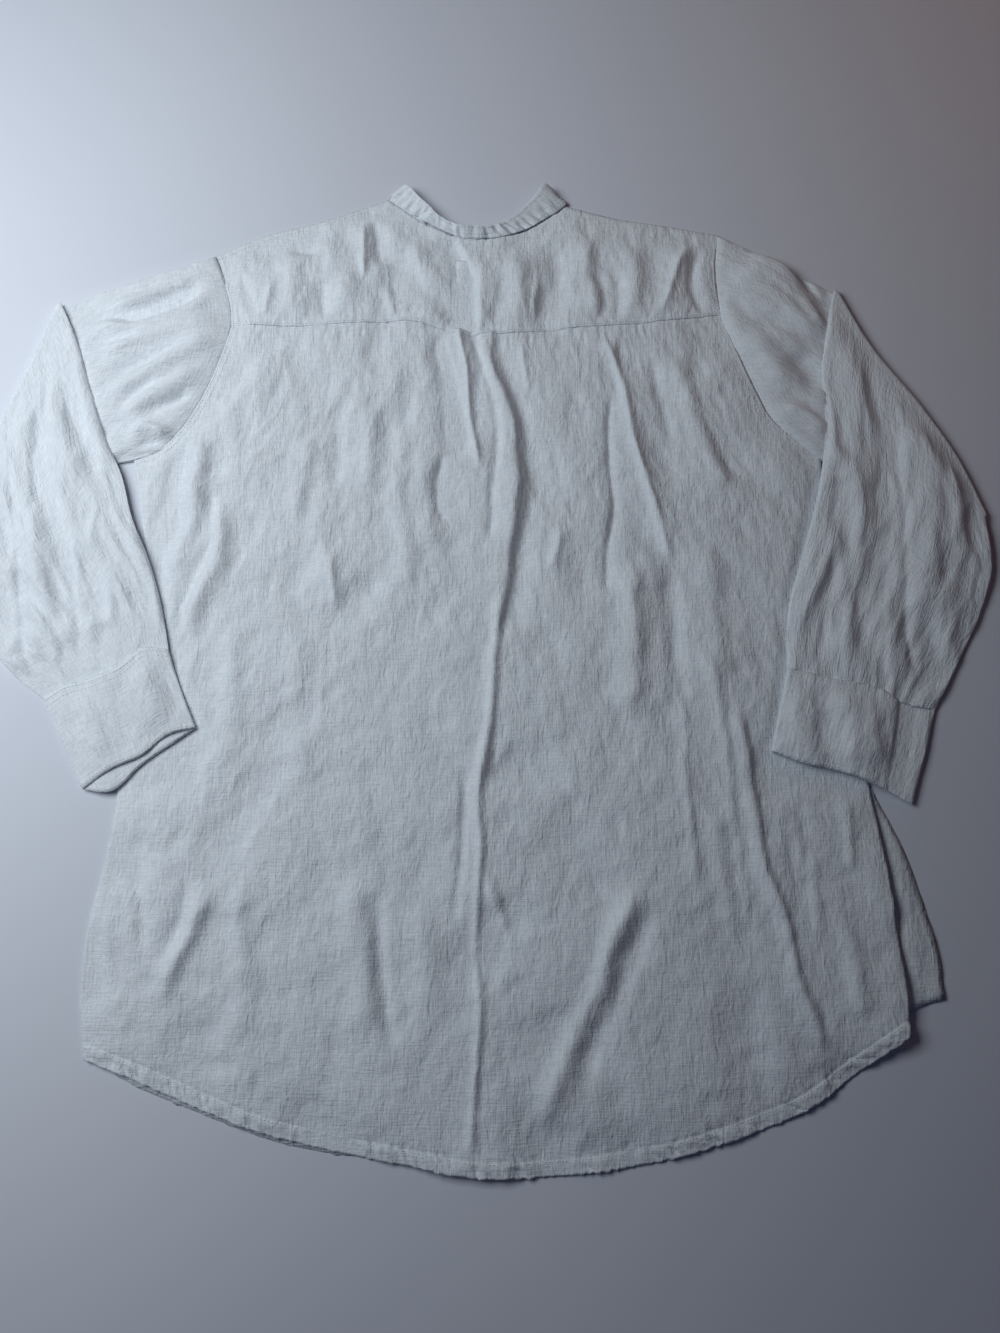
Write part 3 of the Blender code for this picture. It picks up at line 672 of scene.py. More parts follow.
@dataclass(frozen=True)
class SewingThread:
    """Spun polyester sewing thread: fine, slightly brighter and glossier than the linen."""

    name: str = "thread_spun_polyester_white"
    light: str = "#F4F6F6"
    shade: str = "#D8DEE0"
    roughness: float = 0.6
    sheen: float = 0.1
    ply: float = 0.5  # mm between the turns of the ply
    relief: float = 0.05  # mm

    def material(self) -> bpy.types.Material:
        """Build the node material with a fine ply pattern.

        Returns:
            The material.
        """
        material, tree, shader = new_surface(self.name)
        ply = noise(tree, self.ply, Detail=1.0)
        feed(
            tree,
            shader,
            Base_Color=tint(tree, ply, self.shade, self.light),
            Normal=emboss(tree, ply, self.relief, 0.6),
            Roughness=self.roughness,
            Sheen_Weight=self.sheen,
        )
        return material


@dataclass(frozen=True)
class PolyesterButton:
    """Cast polyester button turned on a lathe: satin, off-white, with a faint cloudy depth."""

    name: str = "button_cast_polyester_offwhite"
    light: str = "#EFEDE4"
    shade: str = "#DAD6C8"
    roughness: float = 0.28
    refraction: float = 1.54
    depth: float = 0.08  # share of the light that goes below the surface
    cloud: float = 4.0  # mm, size of the pale clouds in the casting
    mark: float = 0.4  # mm between turning marks
    relief: float = 0.01  # mm

    def material(self) -> bpy.types.Material:
        """Build the node material with pale clouds and fine turning marks.

        Returns:
            The material.
        """
        material, tree, shader = new_surface(self.name)
        cloud = noise(tree, self.cloud, Detail=3.0, Distortion=0.8)
        feed(
            tree,
            shader,
            Base_Color=tint(tree, cloud, self.shade, self.light),
            Normal=emboss(tree, noise(tree, self.mark), self.relief, 0.4),
            Roughness=self.roughness,
            IOR=self.refraction,
            Subsurface_Weight=self.depth,
        )
        return material


@dataclass(frozen=True)
class MattTable:
    """Laminate table top with a matt film: pale, cool and almost without gloss."""

    name: str = "laminate_matt_pale"
    light: str = "#E3E7F0"
    shade: str = "#DADFEA"
    roughness: float = 0.62
    specular: float = 0.3
    cloud: float = 1000 / 2.2  # mm

    def material(self) -> bpy.types.Material:
        """Build the node material with a barely visible cloud.

        Returns:
            The material.
        """
        material, tree, shader = new_surface(self.name)
        colour = tint(tree, noise(tree, self.cloud, Detail=2.0), self.shade, self.light)
        feed(tree, shader, Base_Color=colour, Roughness=self.roughness, Specular_IOR_Level=self.specular)
        return material


class Wardrobe:
    """The finishes, each made once, and the way from plan millimetres to the frame."""

    def __init__(self) -> None:
        """Make the finishes and find where the plan's zero lies in the frame."""
        self.linen = WashedLinen().material()
        self.thread = SewingThread().material()
        self.button = PolyesterButton().material()
        low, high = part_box("button_front_1")
        self.shift = np.array([(low[0] + high[0]) / 2, (low[1] + high[1]) / 2 - FIRST_BUTTON * MM, 0.0])

    def to_frame(self, points: Array) -> Array:
        """Plan points in millimetres as points of the frame in metres."""
        return np.asarray(points, dtype=float) * MM + self.shift


# Mesh building


def grid_quads(count_u: int, count_v: int) -> Array:
    """Cells of a grid.

    Args:
        count_u: columns.
        count_v: rows.

    Returns:
        Four point numbers for each cell.
    """
    i, j = np.meshgrid(np.arange(count_u - 1), np.arange(count_v - 1), indexing="ij")
    corner = (i * count_v + j).ravel()
    return np.stack([corner, corner + count_v, corner + count_v + 1, corner + 1], axis=1)


def grid_border(count_u: int, count_v: int) -> list[tuple[int, int]]:
    """Places round the border of a grid.

    Args:
        count_u: columns.
        count_v: rows.

    Returns:
        Grid places in turn.
    """
    return (
        [(a, 0) for a in range(count_u)]
        + [(count_u - 1, b) for b in range(1, count_v)]
        + [(a, count_v - 1) for a in range(count_u - 2, -1, -1)]
        + [(0, b) for b in range(count_v - 2, 0, -1)]
    )


def under_loops(count_u: int, count_v: int, step_u: int, step_v: int) -> list[list[tuple[int, int]]]:
    """Loops of the coarse cells under a fine grid; they keep every point of its border.

    Args:
        count_u: columns of the fine grid.
        count_v: rows of the fine grid.
        step_u: columns in one coarse cell.
        step_v: rows in one coarse cell.

    Returns:
        Grid places round each cell.
    """
    loops = []
    for a in range(0, count_u - 1, step_u):
        for b in range(0, count_v - 1, step_v):
            far, high = a + step_u, b + step_v
            south = [(i, b) for i in (range(a, far) if b == 0 else (a,))]
            east = [(far, j) for j in (range(b, high) if far == count_u - 1 else (b,))]
            north = [(i, high) for i in (range(far, a, -1) if high == count_v - 1 else (far,))]
            west = [(a, j) for j in (range(high, b, -1) if a == 0 else (high,))]
            loops.append(south + east + north + west)
    return loops


def lowest_near(values: Array, reach_u: int, reach_v: int) -> Array:
    """Lowest value within some columns and rows of each place.

    Args:
        values: grid of values.
        reach_u: columns to each side.
        reach_v: rows to each side.

    Returns:
        Grid of lowest values.
    """
    result = values.copy()
    for axis, reach in ((0, reach_u), (1, reach_v)):
        spread = result.copy()
        for step in range(1, reach + 1):
            for way in (step, -step):
                moved = np.roll(result, way, axis=axis)
                edge = [slice(None), slice(None)]
                edge[axis] = slice(0, way) if way > 0 else slice(way, None)
                moved[tuple(edge)] = result[tuple(edge)]
                spread = np.minimum(spread, moved)
        result = spread
    return result


def add_object(name: str, data: bpy.types.ID) -> Piece:
    """Make an object and link it to the scene.

    Args:
        name: its name.
        data: its mesh, light or camera.

    Returns:
        The object.
    """
    made = bpy.data.objects.new(name, data)
    bpy.context.scene.collection.objects.link(made)
    return made


def cloth_object(
    name: str, verts: Array, faces: list, measure: Array, material: bpy.types.Material
) -> Piece:
    """Make a mesh object with its UV map in metres of cloth.

    Args:
        name: name of the piece.
        verts: points in metres.
        faces: vertex numbers of each face.
        measure: place of each vertex on the cloth in metres.
        material: finish.

    Returns:
        The object, faces outward.
    """
    mesh = bpy.data.meshes.new(name)
    mesh.from_pydata(verts.tolist(), [], faces)
    mesh.update()
    numbers = np.empty(len(mesh.loops), dtype=np.int32)
    mesh.loops.foreach_get("vertex_index", numbers)
    layer = mesh.uv_layers.new(name="cloth")
    layer.data.foreach_set("uv", measure[numbers].astype(np.float32).ravel())
    turn_outward(mesh)
    mesh.shade_smooth()
    mesh.materials.append(material)
    return add_object(name, mesh)


def turn_outward(mesh: bpy.types.Mesh) -> None:
    """Turn all faces of a closed mesh if they point inward.

    Args:
        mesh: the closed mesh.
    """
    shell = bmesh.new()
    shell.from_mesh(mesh)
    if shell.calc_volume(signed=True) < 0:
        bmesh.ops.reverse_faces(shell, faces=shell.faces[:])
        shell.to_mesh(mesh)
    shell.free()


def panel_shell(
    name: str,
    top: Array,
    wall: float,
    wardrobe: Wardrobe,
    steps: tuple[int, int] = (1, 1),
    lift: float = 0.0,
) -> Piece:
    """Closed thin shell below a grid of top points.

    Args:
        name: name of the piece.
        top: points of the upper face in millimetres, first index across and second up.
        wall: thickness of the cloth in millimetres.
        wardrobe: finishes and frame.
        steps: columns and rows of the fine grid in one cell of the under face.
        lift: lowest height that the under face may have.

    Returns:
        The piece.
    """
    count_u, count_v = top.shape[:2]
    under = top.copy()
    level = lowest_near(top[..., 2], steps[0], steps[1]) if steps != (1, 1) else top[..., 2]
    under[..., 2] = np.maximum(level - wall, lift)
    for edge in (np.s_[0, :], np.s_[-1, :], np.s_[:, 0], np.s_[:, -1]):
        under[edge + (2,)] = np.maximum(top[edge + (2,)] - wall, lift)
    keep = np.zeros((count_u, count_v), dtype=bool)
    keep[:: steps[0], :: steps[1]] = True
    keep[[0, -1], :] = True
    keep[:, [0, -1]] = True
    base = count_u * count_v
    number = np.full((count_u, count_v), -1)
    number[keep] = base + np.arange(keep.sum())
    faces = grid_quads(count_u, count_v).tolist()
    for loop in under_loops(count_u, count_v, *steps):
        faces.append([int(number[place]) for place in reversed(loop)])
    border = grid_border(count_u, count_v)
    for here, there in zip(border, border[1:] + border[:1]):
        a = here[0] * count_v + here[1]
        b = there[0] * count_v + there[1]
        faces.append([a, int(number[here]), int(number[there]), b])
    points = np.concatenate([top.reshape(-1, 3), under[keep]])
    verts = wardrobe.to_frame(points)
    return cloth_object(name, verts, faces, points[:, :2] * MM, wardrobe.linen)


def tube_shell(name: str, near: Array, far: Array, wall: float, measure: Array, wardrobe: Wardrobe) -> Piece:
    """Closed thin shell of a flattened tube from its two layers.

    Args:
        name: name of the piece.
        near: points of one layer, first index across and second along.
        far: points of the other layer, which meets the first at both edges.
        wall: thickness of the cloth in millimetres.
        measure: places on the cloth in millimetres, one for each point of a layer.
        wardrobe: finishes and frame.

    Returns:
        The piece.
    """
    outer = np.concatenate([near, far[-2:0:-1]])
    places = np.concatenate([measure, measure[-2:0:-1]])
    count, rows = outer.shape[:2]
    normals = surface_normals(outer, True)
    centre = outer.mean(axis=0, keepdims=True)
    if ((outer - centre) * normals).sum() < 0:
        normals = -normals
    inner = outer - wall * normals
    i, j = np.meshgrid(np.arange(count), np.arange(rows - 1), indexing="ij")
    beyond = (i + 1) % count
    quads = np.stack([i * rows + j, beyond * rows + j, beyond * rows + j + 1, i * rows + j + 1], axis=-1)
    quads = quads.reshape(-1, 4)
    within = count * rows
    faces = quads.tolist() + (quads[:, ::-1] + within).tolist()
    for row, turned in ((0, False), (rows - 1, True)):
        here = np.arange(count) * rows + row
        there = np.roll(here, -1)
        rim = np.stack([there, here, here + within, there + within], axis=1)
        faces += (rim[:, ::-1] if turned else rim).tolist()
    verts = wardrobe.to_frame(np.concatenate([outer.reshape(-1, 3), inner.reshape(-1, 3)]))
    uv = np.concatenate([places.reshape(-1, 2)] * 2) * MM
    return cloth_object(name, verts, faces, uv, wardrobe.linen)


def dress(piece: Piece, node: str | None) -> None:
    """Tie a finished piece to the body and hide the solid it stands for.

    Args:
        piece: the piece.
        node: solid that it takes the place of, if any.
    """
    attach(piece, "root")
    if node:
        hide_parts(node)
    log.info("%s: %d faces", piece.name, len(piece.data.polygons))


# Stitches


@dataclass
class StitchMaker:
    """Rows of stitches laid along runs of thread by Geometry Nodes; sizes in millimetres."""

    pitch: float = 3.1
    length: float = 2.2
    radius: float = 0.26
    unevenness: float = 0.12
    seed: int = 7

    def build_tree(self) -> Tree:
        """Build the tree: points along each run, a slim stitch on each, made real.

        Returns:
            The node tree.
        """
        tree = bpy.data.node_groups.new("stitch_row", "GeometryNodeTree")
        sockets = (
            ("Runs", "INPUT", "NodeSocketGeometry"),
            ("Pitch", "INPUT", "NodeSocketFloat"),
            ("Stitch Length", "INPUT", "NodeSocketFloat"),
            ("Thread Radius", "INPUT", "NodeSocketFloat"),
            ("Unevenness", "INPUT", "NodeSocketFloat"),
            ("Seed", "INPUT", "NodeSocketInt"),
            ("Thread", "INPUT", "NodeSocketMaterial"),
            ("Stitches", "OUTPUT", "NodeSocketGeometry"),
        )
        for name, way, kind in sockets:
            tree.interface.new_socket(name, in_out=way, socket_type=kind)
        given = add_node(tree, "NodeGroupInput").outputs
        runs = add_node(tree, "GeometryNodeMeshToCurve", None, Mesh=given["Runs"])
        spaced = {"mode": "LENGTH"}
        points = add_node(
            tree, "GeometryNodeCurveToPoints", spaced, Curve=runs.outputs[0], Length=given["Pitch"]
        )
        half = calculate(tree, "MULTIPLY", given["Stitch Length"], 0.5)
        thick = given["Thread Radius"]
        size = add_node(tree, "ShaderNodeCombineXYZ", None, X=thick, Y=thick, Z=half)
        grain = add_node(tree, "GeometryNodeMeshUVSphere", None, Segments=6, Rings=4, Radius=1.0)
        stitch = add_node(
            tree, "GeometryNodeTransform", None, Geometry=grain.outputs["Mesh"], Scale=size.outputs[0]
        )
        least = calculate(tree, "SUBTRACT", 1.0, given["Unevenness"])
        most = calculate(tree, "ADD", 1.0, given["Unevenness"])
        kind = {"data_type": "FLOAT"}
        vary = add_node(tree, "FunctionNodeRandomValue", kind, in_2=least, in_3=most, Seed=given["Seed"])
        laid = add_node(
            tree,
            "GeometryNodeInstanceOnPoints",
            None,
            Points=points.outputs["Points"],
            Instance=stitch.outputs[0],
            Rotation=points.outputs["Rotation"],
            Scale=vary.outputs[1],
        )
        real = add_node(tree, "GeometryNodeRealizeInstances", None, Geometry=laid.outputs[0])
        done = add_node(
            tree, "GeometryNodeSetMaterial", None, Geometry=real.outputs[0], Material=given["Thread"]
        )
        add_node(tree, "NodeGroupOutput", None, Stitches=done.outputs[0])
        return tree

    def sew(self, name: str, runs: list[Array], wardrobe: Wardrobe) -> Piece:
        """Lay stitches along runs.

        Args:
            name: name of the piece.
            runs: polylines of points in millimetres, on the cloth.
            wardrobe: finishes and frame.

        Returns:
            One mesh object with every stitch.
        """
        tree = bpy.data.node_groups.get("stitch_row") or self.build_tree()
        edges = []
        start = 0
        for run in runs:
            edges += [(start + k, start + k + 1) for k in range(len(run) - 1)]
            start += len(run)
        guide = bpy.data.meshes.new(name + "_runs")
        guide.from_pydata(wardrobe.to_frame(np.concatenate(runs)).tolist(), edges, [])
        holder = add_object(name + "_runs", guide)
        modifier = holder.modifiers.new("stitch_row", "NODES")
        modifier.node_group = tree
        given = {
            "Pitch": self.pitch * MM,
            "Stitch Length": self.length * MM,
            "Thread Radius": self.radius * MM,
            "Unevenness": self.unevenness,
            "Seed": self.seed,
            "Thread": wardrobe.thread,
        }
        for item in tree.interface.items_tree:
            if item.in_out == "INPUT" and item.name in given:
                modifier[item.identifier] = given[item.name]
        graph = bpy.context.evaluated_depsgraph_get()
        mesh = bpy.data.meshes.new_from_object(holder.evaluated_get(graph))
        mesh.name = name
        bpy.data.objects.remove(holder, do_unlink=True)
        bpy.data.meshes.remove(guide)
        mesh.shade_smooth()
        piece = add_object(name, mesh)
        dress(piece, None)
        return piece


# Body


@dataclass(frozen=True)
class BodyPattern:
    """Outlines of the body in plan."""

    hem: Outline = (
        (-292, -333), (-251, -348), (-202, -368), (-164, -382), (-126, -392), (-52, -406), (8, -415),
        (81, -413), (126, -407), (171, -397), (216, -383), (247, -371), (294, -341), (330, -316),
    )
    yoke_seam: Outline = (
        (-213, 274), (-154, 273), (-110, 275), (-48, 276), (-26, 270), (-4, 265), (18, 265), (75, 270),
        (146, 275), (199, 282), (217, 285),
    )
    side_left: Outline = (
        (-292, -333), (-298, -285), (-296, -235), (-286, -180), (-281, -127), (-275, -30), (-272, 60),
        (-283, 110), (-290, 150),
    )
    side_right: Outline = (
        (330, -316), (331, -285), (327, -235), (322, -180), (316, -131), (306, -30), (298, 60),
        (296, 120), (296, 150),
    )
    armhole_left_yoke: Outline = ((-233, 343), (-224, 322), (-215, 292), (-213, 274))
    armhole_left_back: Outline = (
        (-213, 274), (-221, 244), (-237, 201), (-253, 174), (-268, 159), (-290, 150),
    )
    armhole_right_yoke: Outline = ((219, 364), (214, 337), (214, 312), (217, 285))
    armhole_right_back: Outline = (
        (217, 285), (228, 253), (244, 210), (255, 187), (275, 167), (296, 150),
    )
    shoulder_left: Outline = ((-233, 343), (-186, 365), (-137, 379), (-79, 401))
    shoulder_right: Outline = ((83, 394), (135, 380), (167, 375), (219, 364))
    neck_back: Outline = (
        (-79, 401), (-59, 385), (-41, 373), (-18, 361), (0, 358), (22, 360), (49, 370), (83, 394),
    )
    neck_front_left: Outline = (
        (-79, 401), (-69, 370), (-57, 346), (-39, 326), (-20, 315), (13, 311),
    )
    neck_front_right: Outline = (
        (6.5, 311), (22, 315), (41, 326), (59, 345), (72, 368), (83, 394),
    )
    hem_front_left: Outline = (
        (-291, -330), (-262, -348), (-202, -372), (-126, -396), (-85, -401), (-40, -402), (13, -409),
    )
    hem_front_right: Outline = (
        (6.5, -409), (81, -407), (150, -395), (216, -376), (280, -341), (333, -299), (361, -290),
    )
    side_front_left: Outline = (
        (-291, -330), (-295, -285), (-293, -235), (-283, -180), (-279, -127), (-273, -30), (-270, 60),
        (-282, 110), (-290, 150),
    )
    side_front_right: Outline = (
        (361, -290), (360, -262), (352, -222), (340, -178), (320, -134), (302, -30), (296, 60),
        (295, 120), (296, 150),
    )

    def armhole(self, left: bool) -> Outline:
        """Whole armhole from the shoulder point to the armpit.

        Args:
            left: whether it is the wearer's left one.

        Returns:
            The line.
        """
        if left:
            return self.armhole_left_yoke + self.armhole_left_back[1:]
        return self.armhole_right_yoke + self.armhole_right_back[1:]


YOKE_CREASES = (
    Crease(((-26, 369), (-14, 345), (-4, 321), (-1, 240)), 24, 2.4, -4.4),
    Crease(((2, 345), (6, 308), (6, 267)), 3, 14, 1.4),
    Crease(((-148, 378), (-153, 358), (-155, 339)), 12, 12, -3.6),
    Crease(((-99, 377), (-99, 345), (-98, 316)), 3, 3.5, 2.4, Crest.SHARP),
    Crease(((-90, 382), (-86, 355), (-82, 329)), 6, 9, -3.0),
    Crease(((-73, 355), (-49, 316), (-21, 281)), 14, 12, -3.6),
    Crease(((-62, 360), (-46, 330), (-38, 300), (-34, 245)), 14, 30, 3.4),
    Crease(((-178, 318), (-182, 297), (-184, 279)), 4, 5, 1.8, Crest.SHARP),
    Crease(((-123, 361), (-117, 324), (-111, 287)), 12, 12, 2.8),
    Crease(((-165, 345), (-160, 313), (-163, 281)), 9, 9, 1.8),
    Crease(((28, 345), (42, 313), (40, 272)), 12, 12, 3.0),
    Crease(((66, 361), (73, 324), (70, 277)), 12, 12, -3.0),
    Crease(((95, 361), (107, 324), (104, 277)), 10, 10, 2.4),
    Crease(((106, 334), (113, 303), (110, 274)), 5, 6, -2.0),
    Crease(((192, 355), (175, 316), (160, 277)), 4, 8, 2.8, Crest.SHARP),
    Crease(((201, 350), (195, 313), (203, 279)), 6, 6, -2.6),
    Crease(((142, 355), (143, 318), (135, 277)), 10, 10, 2.2),
    Crease(((127, 329), (128, 300), (124, 274)), 6, 6, -1.8),
    Crease(((-207, 324), (-198, 297), (-195, 278)), 5, 5, -1.6),
    Crease(((57, 324), (53, 297), (51, 274)), 4, 4, 1.8, Crest.SHARP),
    Crease(((-129, 318), (-133, 297), (-134, 279)), 4, 4, -1.4),
    Crease(((-80, 313), (-72, 292), (-69, 281)), 4, 4, 1.6),
)
BACK_CREASES = (
    Crease(((-14, 285), (-13, 262), (-9, 237), (-5, 202), (-3, 172), (8, 134)), 3, 5, 3.6, Crest.SHARP),
    Crease(((-32, 270), (-25, 242), (-19, 212), (-14, 177), (-9, 143)), 13, 5, -4.4),
    Crease(((-46, 262), (-41, 237), (-34, 207)), 10, 10, 1.8),
    Crease(
        ((14, 298), (14, 262), (15, 237), (25, 207), (33, 172), (36, 143), (34, 105), (29, 58), (21, -5)),
        12, 4.0, 3.5,
    ),
    Crease(((-2, 293), (0, 262), (9, 232), (19, 197), (21, 163), (18, 114), (10, 68)), 4, 3, -2.2),
    Crease(((24, 267), (26, 237), (36, 202), (45, 167), (47, 134), (44, 96), (35, 40)), 4, 14, -2.1),
    Crease(((41, 262), (44, 237), (47, 207)), 3, 4, 1.6, Crest.SHARP),
    Crease(((112, 267), (124, 232), (133, 197), (138, 158), (152, 105), (164, 54)), 4, 8, 3.8, Crest.SHARP),
    Crease(((120, 212), (115, 182), (114, 153), (118, 105), (113, 68), (109, 26)), 4, 7, -3.0, Crest.SHARP),
    Crease(((73, 89), (70, 68), (62, 47)), 4, 6, 2.6, Crest.SHARP),
    Crease(((-25, 158), (-30, 129), (-29, 105), (-21, 86)), 4, 8, -2.8, Crest.SHARP),
    Crease(((-116, 72), (-117, 40), (-112, 10)), 5, 8, 2.2, Crest.SHARP),
    Crease(((176, 247), (186, 197), (200, 153), (218, 114)), 9, 7, 2.8),
    Crease(((153, 242), (161, 197), (173, 153)), 6, 6, -1.8),
    Crease(((-136, 177), (-143, 134), (-148, 86)), 9, 7, 2.6),
    Crease(((-112, 212), (-117, 163), (-119, 114)), 8, 8, -2.0),
    Crease(((-86, 197), (-89, 153), (-84, 114)), 8, 8, 2.0),
    Crease(((-61, 114), (-54, 68), (-55, 26)), 9, 7, 2.4),
    Crease(((-245, 167), (-252, 113), (-257, 68)), 12, 9, -4.6),
    Crease(((-231, 176), (-234, 131), (-238, 86), (-255, 42)), 9, 9, 4.0),
    Crease(((-217, 113), (-211, 59), (-226, 25), (-236, -9)), 8, 8, 3.4),
    Crease(((-224, 126), (-218, 73), (-227, 51), (-238, 25), (-244, -9)), 5, 5, -2.4),
    Crease(((-204, 230), (-207, 178), (-199, 115)), 10, 10, 2.2),
    Crease(((22, 26), (17, -38), (12, -88), (9, -132)), 5, 4, 2.8),
    Crease(((8, -88), (6, -139), (6, -209), (6, -283), (5, -348), (2, -403)), 3.2, 3.2, 2.2),
    Crease(((-37, 167), (-41, 112), (-38, 59)), 10, 10, 2.0),
    Crease(((-6, -104), (-6, -163), (-11, -209), (-12, -239)), 4, 4, -2.0),
    Crease(((12, -192), (21, -225), (31, -256)), 4, 5, 2.1),
    Crease(((131, -201), (113, -239), (91, -294), (64, -348), (50, -385)), 8, 10, 3.8),
    Crease(((143, -216), (127, -254), (104, -305), (82, -355)), 8, 7, -1.8),
    Crease(((-270, -180), (-256, -222), (-250, -260)), 5, 5, -2.2),
    Crease(((-203, -200), (-216, -242), (-227, -270), (-231, -298)), 8, 7, 3.5),
    Crease(((-215, -195), (-227, -235), (-238, -265)), 6, 5, -2.1),
    Crease(((-180, -195), (-175, -254), (-170, -326)), 9, 9, 2.0),
    Crease(((-76, -204), (-70, -254), (-65, -294), (-57, -333)), 6, 6, -2.1),
    Crease(((-91, -194), (-84, -254), (-77, -319)), 11, 9, 2.2),
    Crease(((201, -151), (206, -194), (214, -260)), 5, 7, -1.1),
    Crease(((190, -139), (196, -194), (204, -254)), 9, 8, 1.4),
    Crease(
        (
            (212, -59), (219, -116), (224, -163), (228, -191), (241, -229), (249, -275), (258, -299),
            (267, -330),
        ),
        8, 4, 2.6,
    ),
    Crease(((169, -26), (169, -92), (171, -163), (177, -216)), 5, 4, 1.3),
    Crease(((186, -10), (197, -51), (204, -108), (208, -178), (214, -246)), 6, 4, 1.3),
    Crease(((258, -140), (261, -194), (265, -250)), 4, 5, -1.3),
    Crease(((243, -76), (253, -116), (259, -147)), 5, 4, 1.1),
    Crease(((291, -132), (295, -171), (294, -201)), 5, 5, 1.1),
    Crease(((259, -161), (265, -206), (268, -249)), 6, 6, 1.4),
    Crease(((247, -161), (254, -209), (258, -246)), 6, 5, -1.1),
    Crease(((-185, 256), (-188, 185), (-182, 112)), 12, 12, 2.1),
    Crease(((-124, 185), (-128, 112), (-121, 25)), 11, 11, 1.8),
    Crease(((-69, 241), (-63, 176), (-63, 94)), 10, 8, 1.8),
    Crease(((-142, 8), (-142, -59), (-133, -131)), 10, 10, 1.7),
    Crease(((-200, 8), (-194, -59), (-197, -124)), 9, 9, 1.8),
    Crease(((129, 59), (132, -9), (125, -75)), 10, 10, 3.2),
    Crease(((162, 59), (166, -9), (170, -75)), 8, 8, -2.6),
    Crease(((193, 77), (197, 8), (197, -59)), 9, 9, 1.7),
    Crease(((-40, -216), (-34, -276), (-39, -341)), 9, 9, 1.7),
    Crease(((286, -216), (292, -261), (299, -312)), 8, 8, 2.0),
    Crease(((-284, -216), (-278, -261), (-267, -305)), 7, 7, 2.0),
)


